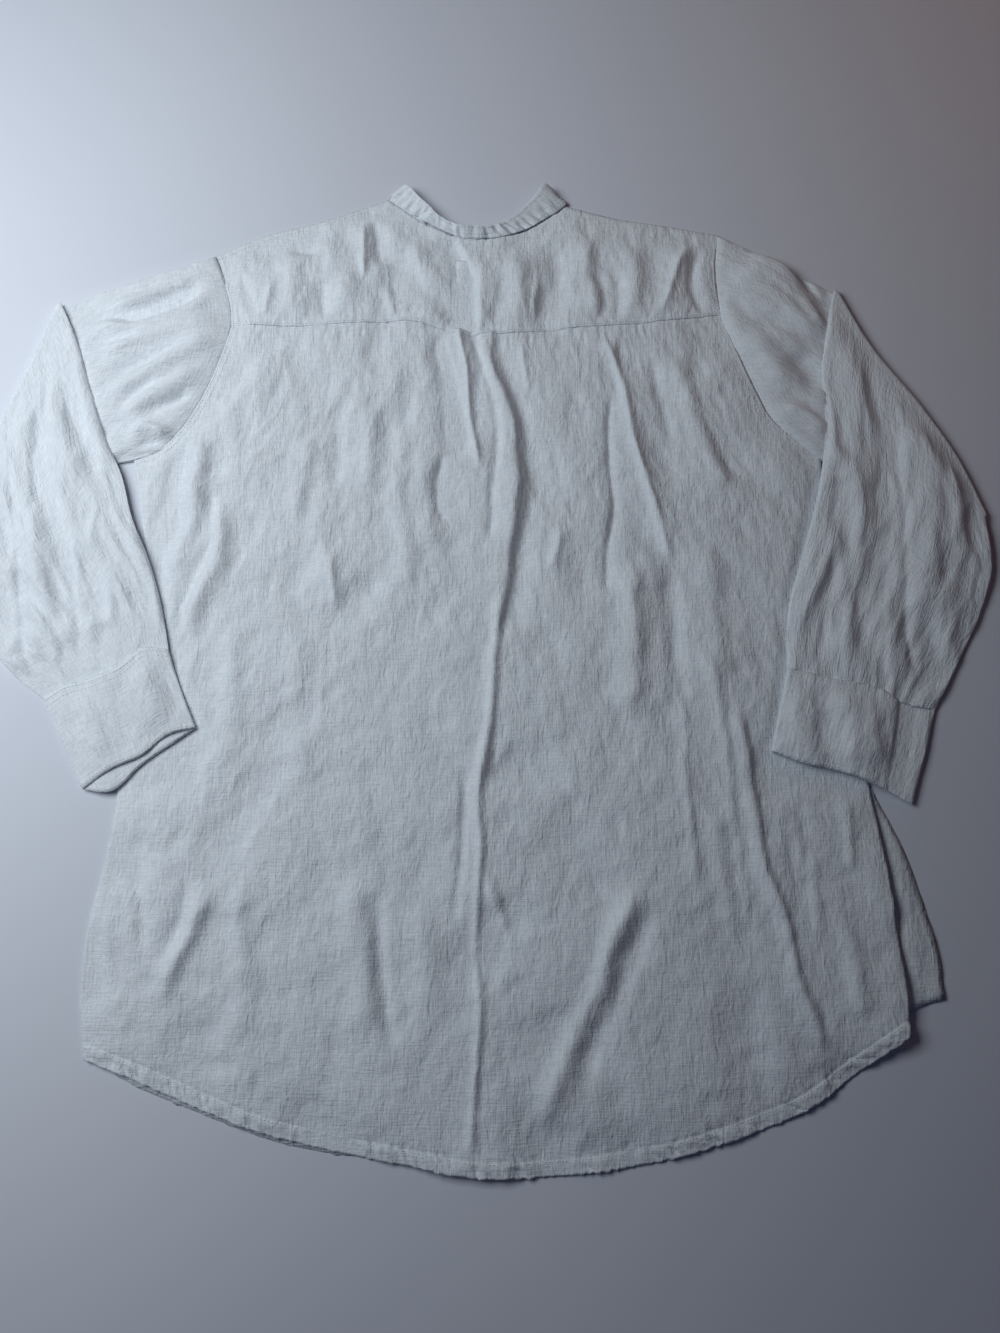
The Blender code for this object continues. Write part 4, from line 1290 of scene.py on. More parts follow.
class BodyRelief:
    """Height of the back and yoke over the table, from which stitches read theirs too; in millimetres."""

    base = 2.75  # upper face of the cloth where nothing lifts it
    lowest = 1.7  # least height of the upper face
    edge_level = 1.95  # height to which the rolled edges come down
    edge_roll = 3.2  # width of their roll
    loft = 4.0  # air between the layers, away from the edges
    loft_way = 44.0  # way over which it grows from an edge
    swell = 3.0  # rise over the placket
    swell_half = 20.0
    swell_fall = 28.0
    hem_band = 11.0  # width of the stitched hem
    bold = 1.5  # share by which the creases of the back are deepened
    yoke_bold = 1.85
    felled = 6.5  # width of the flat-felled armhole seam
    fan = 0.6  # share by which the crumple is wider at the hem
    fan_top = 320.0  # place up the shirt from which it grows wider
    fan_way = 520.0
    seam_fade = 7.0  # way over which the creases of the back give way to those of the yoke
    covered = 0.12  # share of the creases kept under the sleeves
    covered_crumple = 0.3
    slit_top = -95.0  # below it the right side of the back stands off the front
    slit_way = 150.0  # way over which it comes to do so
    slit_width = 25.0
    slit_lift = 7.0
    thread_lift = 0.12  # height of a stitch over the cloth

    def __init__(self, pattern: BodyPattern, crumple: Crumple, covers: list[Array]) -> None:
        """Prepare the lines that the relief follows.

        Args:
            pattern: outlines.
            crumple: random wrinkles.
            covers: for each side, inner edge of the folded sleeve from its tip to the cuff.
        """
        self.crumple = crumple
        self.covers = covers
        self.hem = Course(pattern.hem)
        self.seam = Course(pattern.yoke_seam)
        self.sides = [Course(line) for line in (pattern.side_left, pattern.side_right)]
        self.shoulders = [Course(line) for line in (pattern.shoulder_left, pattern.shoulder_right)]
        self.armholes = [Course(pattern.armhole(left)) for left in (True, False)]
        self.neck = Course(pattern.neck_back)

    def shelter(self, plan: Array) -> Array:
        """Share of the creases kept: few under the folded sleeves.

        Args:
            plan: plan points.

        Returns:
            Share at each point.
        """
        edges = []
        for cover in self.covers:
            rows = cover[::-1]
            edges.append(np.interp(plan[..., 1], rows[:, 1], rows[:, 0]))
        inside = np.minimum(plan[..., 0] - edges[0], edges[1] - plan[..., 0])
        lowest = min(cover[-1, 1] for cover in self.covers)
        clear = smooth_step((inside + 2) / 14)
        return np.maximum(clear, smooth_step((lowest - 22 - plan[..., 1]) / 24))

    def creased(self, plan: Array, yoke: bool, keep: Array, seam: Array) -> Array:
        """Height of the creases and the crumple.

        Args:
            plan: plan points.
            yoke: whether the points are on the yoke.
            keep: share of the creases kept at each point.
            seam: distance from the yoke seam.

        Returns:
            Height in millimetres.
        """
        drifted = self.crumple.drifted(plan)
        body = crease_heights(BACK_CREASES, drifted)
        if yoke:
            share = smooth_step(seam / self.seam_fade)
            body = body * (1 - share) * self.bold / self.yoke_bold
            body = body + crease_heights(YOKE_CREASES, drifted) * share
        body = (self.yoke_bold if yoke else self.bold) * body * (self.covered + (1 - self.covered) * keep)
        fan = 1 + self.fan * smooth_step((self.fan_top - plan[..., 1]) / self.fan_way)
        gathered = plan / np.stack([fan, np.ones_like(fan)], -1)
        rough = self.crumple.heights(gathered)
        return body + rough * (self.covered_crumple + (1 - self.covered_crumple) * keep)

    def neck_and_seam(
        self, neck: Array, neck_run: Array, seam: Array, seam_run: Array
    ) -> tuple[Array, Array]:
        """Gathers of the yoke and its stitched edge.

        Args:
            neck: distance from the neck.
            neck_run: run along it.
            seam: distance from the yoke seam.
            seam_run: run along it.

        Returns:
            Height of the gathers and of the edge.
        """
        gathers = self.crumple.puckers(neck_run, neck) * 0.35 * bell(neck, 0, 9)
        gathers += self.crumple.puckers(seam_run, seam + 40) * 0.42 * bell(seam, 7, 5)
        gathers += 0.4 * bell(neck, 0, 3)
        return gathers, 0.45 * smooth_step((3.4 - seam) / 0.9) - 0.3 * bell(seam, 4.2, 1.3)

    def hem_and_seam(
        self, hem: Array, hem_run: Array, seam: Array, seam_run: Array
    ) -> tuple[Array, Array]:
        """Gathers of the back and its stitched edges.

        Args:
            hem: distance from the hem.
            hem_run: run along it.
            seam: distance from the yoke seam.
            seam_run: run along it.

        Returns:
            Height of the gathers and of the edges.
        """
        slant = hem_run + 0.8 * hem
        gathers = self.crumple.puckers(slant, hem * 0.6) * 1.3 * bell(hem, 7, 8)
        gathers += self.crumple.puckers(seam_run, seam + 90) * 0.5 * bell(seam, 8, 6)
        band = 0.7 * smooth_step((self.hem_band - hem) / 1.5)
        band -= 0.6 * bell(hem, self.hem_band, 1.4)
        band -= 0.5 * smooth_step((2.6 - seam) / 2.0)
        return gathers, band

    def top(self, plan: Array, yoke: bool) -> Array:
        """Upper face of the back or yoke.

        Args:
            plan: plan points with any leading shape.
            yoke: whether the points are on the yoke.

        Returns:
            Height in millimetres.
        """
        keep = self.shelter(plan)
        swell = self.swell * smooth_step(
            (self.swell_half + self.swell_fall - np.abs(plan[..., 0])) / self.swell_fall
        )
        seam, seam_run = self.seam.beside(plan)
        body = self.creased(plan, yoke, keep, seam)
        edges = self.shoulders if yoke else self.sides
        rolled = np.min([course.beside(plan)[0] for course in edges], axis=0)
        hole, hole_run = self.nearest(self.armholes, plan)
        if yoke:
            neck, neck_run = self.neck.beside(plan)
            body = body * (0.3 + 0.7 * smooth_step(neck / 10))
            gathers, band = self.neck_and_seam(neck, neck_run, seam, seam_run)
            open_edge = np.minimum(neck, 60.0)
        else:
            open_edge, hem_run = self.hem.beside(plan)
            gathers, band = self.hem_and_seam(open_edge, hem_run, seam, seam_run)
        raised = smooth_step((np.minimum(rolled, open_edge) + 4) / self.loft_way) * (0.4 + 0.6 * keep)
        loft = self.base + self.loft * raised + swell * (1 - 0.85 * raised)
        felled = 0.5 * smooth_step((self.felled - hole) / 1.2) - 0.25 * bell(hole, 3.6, 1.2)
        felled += self.crumple.puckers(hole_run, hole + 160) * 0.3 * bell(hole, 6, 6)
        height = loft + body + gathers + band + felled * (0.35 + 0.65 * keep)
        roll = 1 - np.exp(-rolled / self.edge_roll)
        apart = smooth_step((self.slit_top - plan[..., 1]) / self.slit_way) * smooth_step(plan[..., 0] / 60)
        slit = apart * bell(rolled, 0, self.slit_width)
        height = self.edge_level + (height - self.edge_level) * np.maximum(roll, slit) + self.slit_lift * slit
        calm = smooth_step(hole / 22)
        level = self.base + 0.2 + 1.4 * smooth_step(hole / 16)
        height = level + (height - level) * (0.35 + 0.65 * calm)
        floor = self.lowest + swell * (1 if not yoke else smooth_step((330 - plan[..., 1]) / 18))
        return floor + np.logaddexp(0, (height - floor) * 3) / 3

    @staticmethod
    def nearest(courses: list[Course], plan: Array) -> tuple[Array, Array]:
        """Find the nearer of two lines.

        Args:
            courses: the lines.
            plan: plan points.

        Returns:
            Distance from it and the run along it.
        """
        found = [course.beside(plan) for course in courses]
        first = found[0][0] <= found[1][0]
        return np.where(first, found[0][0], found[1][0]), np.where(first, found[0][1], found[1][1])

    def on_top(self, plan: Array, yoke: bool) -> Array:
        """Points of a run of thread that lies on the cloth."""
        return np.column_stack([plan, self.top(plan, yoke) + self.thread_lift])


def moved(line: Array, distance: float | Array) -> Array:
    """Plan line moved to the left of its way.

    Args:
        line: points of the line.
        distance: how far, in millimetres.

    Returns:
        The moved points.
    """
    tangent = np.gradient(line, axis=0)
    tangent /= np.linalg.norm(tangent, axis=1, keepdims=True)
    return line + distance * np.stack([-tangent[:, 1], tangent[:, 0]], axis=1)


@dataclass
class Body:
    """Back and yoke, the upper layer of the shirt."""

    pattern: BodyPattern
    relief: BodyRelief
    wall: float = 0.55
    back_columns: int = 321
    back_rows: int = 221
    hem_rows: int = 11  # rows close together over the stitched hem
    hem_share: float = 0.026
    yoke_columns: int = 241
    yoke_rows: int = 49
    armpit_level: float = 0.77  # share up of the armpit
    overlap: float = 2.4  # how far the back runs on under the yoke
    tuck: float = 0.35  # how far its edge drops there
    yoke_tuck: float = 0.3
    hem_pucker: float = 0.45  # how far the hem wavers in plan
    coarse: tuple[int, int] = (4, 4)  # fine cells in one cell of the hidden under face
    clearance: float = 1.15  # least height of the under face
    seam_rows: tuple[float, float] = (1.5, 5.8)  # rows of stitches beside the armhole
    back_flat: tuple[float, float] = (0.66, 0.72)
    back_area: float = 0.404
    yoke_flat: tuple[float, float] = (0.47, 0.14)
    yoke_area: float = 0.0465

    def back_top(self) -> Array:
        """Upper face of the back.

        Returns:
            Points in millimetres, first index across and second up.
        """
        across = np.linspace(0, 1, self.back_columns)
        hem_rows = np.linspace(0, self.hem_share, self.hem_rows, endpoint=False)
        up = np.concatenate([hem_rows, np.linspace(self.hem_share, 1, self.back_rows - self.hem_rows)])
        shape = self.pattern
        hem = by_x([shape.hem], shape.hem[0][0] + across * (shape.hem[-1][0] - shape.hem[0][0]))
        hem[:, 1] += self.hem_pucker * self.relief.crumple.puckers(hem[:, 0], 0 * across)
        seam_x = shape.yoke_seam[0][0] + across * (shape.yoke_seam[-1][0] - shape.yoke_seam[0][0])
        seam = by_x([shape.yoke_seam], seam_x)
        left = side_edge(shape.side_left, shape.armhole_left_back, self.armpit_level, up)
        right = side_edge(shape.side_right, shape.armhole_right_back, self.armpit_level, up)
        plan = patch(hem, seam, left, right, across, up)
        height = self.relief.top(plan, False)
        plan[:, -1, 1] += self.overlap
        height[:, -1] -= self.tuck
        return np.concatenate([plan, height[..., None]], axis=-1)

    def yoke_top(self) -> Array:
        """Upper face of the yoke; its lower edge lies over the back.

        Returns:
            Points in millimetres, first index across and second up.
        """
        across = np.linspace(0, 1, self.yoke_columns)
        shape = self.pattern
        low_x = shape.yoke_seam[0][0] + across * (shape.yoke_seam[-1][0] - shape.yoke_seam[0][0])
        top_x = shape.shoulder_left[0][0] + across * (shape.shoulder_right[-1][0] - shape.shoulder_left[0][0])
        for corner in (shape.shoulder_left[-1][0], shape.shoulder_right[0][0]):
            top_x[np.abs(top_x - corner).argmin()] = corner
        seam = by_x([shape.yoke_seam], low_x)
        top = by_x([shape.shoulder_left, shape.neck_back, shape.shoulder_right], top_x)
        up = np.linspace(0, 1, self.yoke_rows) ** 1.12
        left = along(shape.armhole_left_yoke[::-1], up)
        right = along(shape.armhole_right_yoke[::-1], up)
        plan = patch(seam, top, left, right, across, up)
        height = self.relief.top(plan, True)
        height[:, 0] -= self.yoke_tuck
        return np.concatenate([plan, height[..., None]], axis=-1)

    def runs(self) -> tuple[list[Array], list[Array]]:
        """Lay out the stitches.

        Returns:
            Runs of thread on the back and on the yoke.
        """
        shape = self.pattern
        relief = self.relief
        hem = along(shape.hem, np.linspace(0.004, 0.996, 220))
        back = [relief.on_top(moved(hem, relief.hem_band - 1.2), False)]
        yoke = []
        for line, way in ((shape.armhole_left_back, 1), (shape.armhole_right_back, -1)):
            hole = along(line, np.linspace(0.01, 0.985, 60))
            back += [relief.on_top(moved(hole, way * apart), False) for apart in self.seam_rows]
        for line, way in ((shape.armhole_left_yoke, 1), (shape.armhole_right_yoke, -1)):
            hole = along(line, np.linspace(0.02, 0.99, 28))
            yoke += [relief.on_top(moved(hole, way * apart), True) for apart in self.seam_rows]
        seam = along(shape.yoke_seam, np.linspace(0.003, 0.997, 160))
        yoke.append(relief.on_top(moved(seam, 2.2), True))
        for line, way in ((shape.shoulder_left, -1), (shape.shoulder_right, -1)):
            edge = along(line, np.linspace(0.02, 0.98, 60))
            yoke.append(relief.on_top(moved(edge, way * 4.5), True))
        return back, yoke

    def build(self, wardrobe: Wardrobe, maker: StitchMaker) -> None:
        """Args:
            wardrobe: finishes and frame.
            maker: maker of the stitches.
        """
        back_runs, yoke_runs = self.runs()
        back = panel_shell("back_cloth", self.back_top(), self.wall, wardrobe, self.coarse, self.clearance)
        yoke = panel_shell("yoke_cloth", self.yoke_top(), self.wall, wardrobe, self.coarse, self.clearance)
        sewn_back = maker.sew("back_stitches", back_runs, wardrobe)
        sewn_yoke = maker.sew("yoke_stitches", yoke_runs, wardrobe)
        dress(back, "back")
        dress(yoke, "yoke")


# Fronts


FRONT_CREASES = (
    Crease(((322, -139), (333, -192), (341, -239), (346, -280)), 5, 6, 1.6),
    Crease(((331, -143), (344, -194), (353, -246)), 4, 4, -1.0),
    Crease(((-240, 60), (-228, -40), (-236, -160)), 9, 9, 0.4),
    Crease(((235, 80), (243, -30), (240, -150)), 8, 9, 0.4),
)


@dataclass
class Fronts:
    """Both fronts and the placket, on the table under the back."""

    pattern: BodyPattern
    crumple: Crumple
    wall: float = 0.5
    columns: int = 61
    rows: int = 141
    armpit_level: float = 0.66  # share up of the armpit
    front_left_flat: tuple[float, float] = (0.31, 0.81)
    front_left_area: float = 0.205
    front_right_flat: tuple[float, float] = (0.36, 0.81)
    front_right_area: float = 0.215
    placket_flat: tuple[float, float] = (0.031, 0.72)
    stand: tuple[float, ...] = (
        -24.0, -20.0, -18.0, -16.0, -12.0, -8.0, -3.0, 2.0, 7.0, 13.0,
    )  # X of the columns of the button stand
    stand_top: float = 3.95
    placket_top: float = 2.6
    placket_half: float = 15.0
    placket_ends: tuple[float, float] = (-408.0, 310.5)
    hem_band: float = 10.0
    clearance: float = 0.04  # least height of the under face
    thread_level: float = 0.03
    free_from: float = 318.0  # X beyond which the right front shows
    free_way: float = 12.0
    buttonhole: tuple[float, float] = (1.1, 7.2)  # half width and half length

    def ripple(self, plan: Array) -> Array:
        """Height of the fronts, lively where the right one shows beside the back.

        Args:
            plan: plan points.

        Returns:
            Height of the upper face in millimetres.
        """
        free = smooth_step((plan[..., 0] - self.free_from) / self.free_way)
        free = free * smooth_step((-150 - plan[..., 1]) / 60)
        rough = 0.12 * self.crumple.heights(plan + 400) + 0.35 * crease_heights(FRONT_CREASES, plan)
        rough = np.clip(rough, -0.3, 0.42)
        lively = 0.9 * np.abs(self.crumple.heights(plan + 210)) + crease_heights(FRONT_CREASES, plan) + 0.7
        return 0.62 + rough * (1 - free) + free * np.clip(lively, 0.1, 3.2)

    def left_top(self) -> Array:
        """Upper face of the wearer's left front with its button stand.

        Returns:
            Points in millimetres, first index across and second up.
        """
        shape = self.pattern
        share = np.linspace(0, 1, self.columns)
        up = np.linspace(0, 1, self.rows)
        stand = np.array(self.stand)
        hem_x = shape.hem_front_left[0][0] + share * (stand[0] - shape.hem_front_left[0][0])
        hem = by_x([shape.hem_front_left], hem_x)
        hem[:, 1] += 0.5 * self.crumple.puckers(hem[:, 0] + 77, 0 * share)
        top_x = shape.shoulder_left[0][0] + share * (stand[0] - shape.shoulder_left[0][0])
        top_x[np.abs(top_x - shape.shoulder_left[-1][0]).argmin()] = shape.shoulder_left[-1][0]
        top = by_x([shape.shoulder_left, shape.neck_front_left], top_x)
        left = side_edge(shape.side_front_left, shape.armhole(True), self.armpit_level, up)
        right = hem[-1] + up[:, None] * (top[-1] - hem[-1])
        plan = patch(hem, top, left, right, share, up)
        low = by_x([shape.hem_front_left], stand[1:])[:, None, :]
        high = by_x([shape.neck_front_left], stand[1:])[:, None, :]
        plan = np.concatenate([plan, low + up[None, :, None] * (high - low)])
        climb = smooth_step((plan[..., 0] - stand[0]) / (stand[3] - stand[0]))
        height = self.ripple(plan)
        height = height + (self.stand_top - height) * climb
        return np.concatenate([plan, height[..., None]], axis=-1)

    def right_top(self) -> Array:
        """Upper face of the wearer's right front, which shows beside the back at the hem.

        Returns:
            Points in millimetres, first index across and second up.
        """
        shape = self.pattern
        share = np.linspace(0, 1, self.columns + 12)
        up = np.linspace(0, 1, self.rows)
        start, end = shape.hem_front_right[0][0], shape.hem_front_right[-1][0]
        hem_x = start + share * (end - start)
        hem = by_x([shape.hem_front_right], hem_x)
        first, last = shape.neck_front_right[0][0], shape.shoulder_right[-1][0]
        top_x = first + share * (last - first)
        top_x[np.abs(top_x - shape.shoulder_right[0][0]).argmin()] = shape.shoulder_right[0][0]
        top = by_x([shape.neck_front_right, shape.shoulder_right], top_x)
        right = side_edge(shape.side_front_right, shape.armhole(False), self.armpit_level, up)
        left = hem[0] + up[:, None] * (top[0] - hem[0])
        plan = patch(hem, top, left, right, share, up)
        height = self.ripple(plan)
        band, run = Course(shape.hem_front_right).beside(plan)
        free = smooth_step((plan[..., 0] - self.free_from) / self.free_way)
        gathers = 0.5 + 0.5 * np.clip(self.crumple.puckers(run, band), -1, 1.5)
        height = height + free * gathers * smooth_step((12 - band) / 3)
        return np.concatenate([plan, height[..., None]], axis=-1)

    def placket_face(self) -> Array:
        """Upper face of the placket strip.

        Returns:
            Points in millimetres, first index across and second up.
        """
        across = np.linspace(-self.placket_half, self.placket_half, 9)
        up = np.linspace(*self.placket_ends, 121)
        grid = np.zeros((len(across), len(up), 3))
        grid[..., 0] = across[:, None]
        grid[..., 1] = up[None, :]
        grid[..., 2] = self.placket_top + 0.05 * self.crumple.heights(grid[..., :2])
        return grid

    def runs(self) -> tuple[list[Array], list[Array], list[Array]]:
        """Lay out the stitches: hems, placket edges and buttonholes.

        Returns:
            Runs of thread on the left front, on the right front and on the placket.
        """
        shape = self.pattern
        left = along(shape.hem_front_left, np.linspace(0.01, 0.93, 90))
        left = np.column_stack([moved(left, self.hem_band), np.full(len(left), self.thread_level)])
        right = along(shape.hem_front_right, np.linspace(0.02, 0.99, 110))
        right = moved(right, self.hem_band)
        free = Course(shape.side_front_right)
        height = self.ripple(right) + 0.35
        seen = np.column_stack([right, height])[free.beside(right)[0] < 60]
        right = np.column_stack([right, np.full(len(right), self.thread_level)])
        low = self.placket_top - self.wall - 0.06
        edges = []
        for x in (-self.placket_half + 3, self.placket_half - 3):
            y = np.linspace(-404, 308, 100)
            edges.append(np.column_stack([np.full_like(y, x), y, np.full_like(y, low)]))
        for number in range(1, 8):
            box_low, box_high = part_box(f"button_front_{number}")
            place = FIRST_BUTTON + ((box_low[1] + box_high[1]) / 2 - self.first_level()) / MM
            turn = np.linspace(0, 2 * math.pi, 41)
            wide, long = self.buttonhole
            edges.append(
                np.column_stack([wide * np.sin(turn), place + long * np.cos(turn), np.full_like(turn, low)])
            )
        return [left], [right, seen], edges

    @staticmethod
    def first_level() -> float:
        """Place of the top front button up the shirt, in metres."""
        low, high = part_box("button_front_1")
        return (low[1] + high[1]) / 2

    def build(self, wardrobe: Wardrobe, maker: StitchMaker) -> None:
        """Args:
            wardrobe: finishes and frame.
            maker: maker of the stitches.
        """
        left_runs, right_runs, placket_runs = self.runs()
        left = panel_shell("front_left_cloth", self.left_top(), self.wall, wardrobe, lift=self.clearance)
        right = panel_shell("front_right_cloth", self.right_top(), self.wall, wardrobe, lift=self.clearance)
        placket = panel_shell("placket_cloth", self.placket_face(), self.wall, wardrobe)
        sewn_left = maker.sew("front_left_stitches", left_runs, wardrobe)
        sewn_right = maker.sew("front_right_stitches", right_runs, wardrobe)
        sewn_placket = maker.sew("placket_stitches", placket_runs, wardrobe)
        for piece, node in ((left, "front_left"), (right, "front_right"), (placket, "placket")):
            dress(piece, node)


# Sleeves


@dataclass
class Sleeve:
    """One sleeve, folded back over itself beside the body, with its cuff; sizes in millimetres."""

    name: str
    side: int
    armhole: Outline
    fold_line: Outline
    inner: Outline
    outer: Outline
    cuff_seam: Outline
    cuff_inner: Outline
    cuff_outer: Outline
    mouth_upper: Outline
    mouth_under: Outline
    drop_start: float
    upper_creases: tuple[Crease, ...]
    lower_creases: tuple[Crease, ...]
    cuff_creases: tuple[Crease, ...]
    ledge: Outline | None = None  # crease beyond which the upper layer lies lower
    ledge_drop: float = 3.4
    mouth_gap: float = 2.0
    columns: int = 68
    upper_rows: int = 40
    bend_rows: int = 9
    lower_rows: int = 116
    cuff_rows: int = 27
    wall: float = 0.5
    cuff_wall: float = 0.9
    rest_level: float = 1.7  # middle of the tube on the table
    laid_level: float = 6.3  # middle of the lower sleeve on the body
    turn_radius: tuple[float, float] = (2.7, 2.4)  # at the tip of the fold and at its other end
    half: float = 1.0  # half height of the flat tube
    under_half: float = 1.55  # the same where it lies on the table
    puff: float = 3.0  # rise of the lower sleeve and the cuff
    dome: float = 2.4  # rise of the upper sleeve beyond the armhole
    crown_ease: float = 15.0  # way over which the sleeve rises from its armhole seam
    edge_lift: float = 0.4  # how far the inner edge stands off the body
    edge_way: float = 24.0
    edge_round: float = 0.012  # share of the width over which an edge is rounded
    lively: float = 1.0  # share of the random wrinkles
    bold: float = 1.0  # share by which the creases of the upper sleeve are deepened
    drop: float = 4.4  # how far the sleeve sinks beside the body
    drop_way: float = 34.0
    cuff_lap: float = 1.6  # how far each tube runs on under or over the next piece
    thread_lift: float = 0.12  # height of a stitch over the cloth
    sleeve_flat: tuple[float, float] = (0.40, 0.50)
    sleeve_area: float = 0.15
    cuff_flat: tuple[float, float] = (0.24, 0.09)
    cuff_area: float = 0.0195

    def widths(self) -> Array:
        """Place the lines of the tube, close together at both edges.

        Returns:
            Shares of the width.
        """
        edge = np.array([0.0, 0.0015, 0.005, 0.011, 0.021])
        return np.concatenate([edge, np.linspace(0.034, 0.966, self.columns), 1 - edge[::-1]])

    def rounding(self, widths: Array) -> Array:
        """Round both edges of the tube.

        Args:
            widths: shares of the width.

        Returns:
            Share of the half height that each line has.
        """
        place = np.minimum(np.minimum(widths, 1 - widths) / self.edge_round, 1)
        return np.sqrt(np.maximum(1 - (1 - place) ** 2, 0))

    def cover(self) -> Array:
        """Inner edge of the lower sleeve and cuff, from the tip to the mouth."""
        return np.asarray([*self.inner, *self.cuff_inner[1:]], dtype=float)

    def sunk(self, plan: Array) -> Array:
        """Depth by which the lower sleeve sinks beside the body toward the table.

        Args:
            plan: plan points.

        Returns:
            Depth in millimetres.
        """
        beyond = self.side * plan[..., 0] - self.drop_start
        return self.drop * smooth_step(beyond / self.drop_way) * smooth_step((80 - plan[..., 1]) / 70)

    def sleeve_layers(self, crumple: Crumple) -> tuple[Array, Array, Array]:
        """Both layers of the sleeve from the armhole round the fold to the cuff.

        Args:
            crumple: random wrinkles.

        Returns:
            Points of the layer inside the fold, of the layer outside it, and their
            places on the cloth in millimetres.
        """
        widths = self.widths()
        rounding = self.rounding(widths)[:, None]
        upper_s = np.linspace(0, 1, self.upper_rows)
        lower_s = np.linspace(0, 1, self.lower_rows)
        radius = self.turn_radius[0] + (self.turn_radius[1] - self.turn_radius[0]) * widths
        crown = moved(along(self.armhole, widths), -self.side * self.cuff_lap)
        fold_edge = along(self.fold_line, widths)
        way = fold_edge[-1] - fold_edge[0]
        outward = self.side * np.array([-way[1], way[0]]) / np.linalg.norm(way)
        turn = fold_edge - (radius + self.half)[:, None] * outward
        end = along(self.cuff_seam, widths)
        top_line = along((crown[0], turn[0]), upper_s)
        bow = (crown[-1] + turn[-1]) / 2 + (0, 14)
        under_line = along((crown[-1], bow, turn[-1]), upper_s)
        upper = patch(crown, turn, top_line, under_line, widths, upper_s)
        inner_line = along((turn[0], *self.inner[1:-1], end[0]), lower_s)
        outer_line = along((turn[-1], *self.outer[1:-1], end[-1]), lower_s)
        lower = patch(turn, end, inner_line, outer_line, widths, lower_s)

        span = np.linalg.norm(np.diff(fold_edge, axis=0), axis=1).sum()
        run_across = widths * span
        upper_long = np.linalg.norm(np.diff(upper, axis=1), axis=-1).sum(axis=1).mean()
        lower_long = np.linalg.norm(np.diff(lower, axis=1), axis=-1).sum(axis=1).mean()
        turn_long = math.pi * radius.mean()
        angles = np.linspace(-math.pi / 2, math.pi / 2, self.bend_rows + 2)[1:-1]
        down = np.concatenate(
            [
                upper_s * upper_long,
                upper_long + turn_long * (angles / math.pi + 0.5),
                upper_long + turn_long + lower_s * lower_long,
            ]
        )
        u, v = np.meshgrid(run_across, down, indexing="ij")
        measure = np.stack([u, v], axis=-1)
        place = measure + 260 * (self.side + 2)
        rough = crumple.heights(place)
        rough_under = crumple.heights(place + 480)

        arch = np.sin(math.pi * widths)[:, None] ** 0.5
        drifted = crumple.drifted(upper)
        edge = np.asarray(self.inner[::-1], dtype=float)
        under_fold = self.side * (upper[..., 0] - np.interp(upper[..., 1], edge[:, 1], edge[:, 0]))
        shown = 1 - smooth_step((under_fold + 2) / 12)
        shown = shown * (1 - smooth_step((upper_s - 0.86) / 0.12))[None]
        crown_fade = smooth_step(upper_s * upper_long / self.crown_ease)
        dome = self.dome * arch * np.sin(math.pi * upper_s**0.6)[None] ** 0.5
        rise = dome + self.bold * crease_heights(self.upper_creases, drifted)
        rise = rise + 0.8 * rough[:, : self.upper_rows]
        rise = rise * (0.1 + 0.9 * shown) * (0.15 + 0.85 * crown_fade)
        seamed = 0.55 * smooth_step(upper_s * upper_long / 1.7)[None]
        lift = 1.5 + np.maximum(rise, -1.2) + seamed
        near = [np.dstack([upper, self.rest_level + rounding * lift])]
        under = np.clip(0.12 * rough_under[:, : self.upper_rows], -0.1, 0.4)
        far = [np.dstack([upper, self.rest_level - rounding * (self.under_half - under)])]

        centre = np.column_stack([turn, self.rest_level + radius])
        for angle, share in zip(angles, np.linspace(0, 1, self.bend_rows)):
            heading = np.array([*(outward * math.cos(angle)), math.sin(angle)])
            thick = (rounding * (self.under_half + (self.half - self.under_half) * share))[:, 0]
            near.append((centre + heading * (radius - thick)[:, None])[:, None])
            far.append((centre + heading * (radius + thick)[:, None])[:, None])

        middle = self.rest_level + 2 * radius[:, None]
        middle = middle + (self.laid_level - middle) * smooth_step(lower_s / 0.35)[None] - self.sunk(lower)
        start = smooth_step(lower_s * 7)[None]
        middle = middle + self.edge_lift * start * bell(run_across, 0, self.edge_way)[:, None]
        body = self.puff * arch + crease_heights(self.lower_creases, crumple.drifted(lower))
        wild = 0.8 * rough[:, -self.lower_rows :] + crumple.facet.at(measure[:, -self.lower_rows :] + 90)
        body = body + self.lively * wild + 2.0 * bell(run_across, 9, 8)[:, None]
        if self.ledge is not None:
            distance, _ = Course(self.ledge).measure(lower.reshape(-1, 2))
            out = distance.reshape(lower.shape[:2]) * -self.side
            body = body - self.ledge_drop * smooth_step((out + 1) / 5)
        gap = (1 - lower_s)[None] * lower_long
        gathers = crumple.puckers(u[:, -self.lower_rows :] * 0.9, gap * 0.5 + 130)
        body = body + gathers * 0.6 * np.exp(-gap / 16) - 0.7 * np.exp(-gap / 3.5)
        flat = self.half - 0.06 * rough_under[:, -self.lower_rows :]
        near.append(np.dstack([lower, middle - rounding * flat]))
        far.append(np.dstack([lower, middle + rounding * np.maximum(self.half + start * body, 0.5)]))
        return np.concatenate(near, axis=1), np.concatenate(far, axis=1), measure

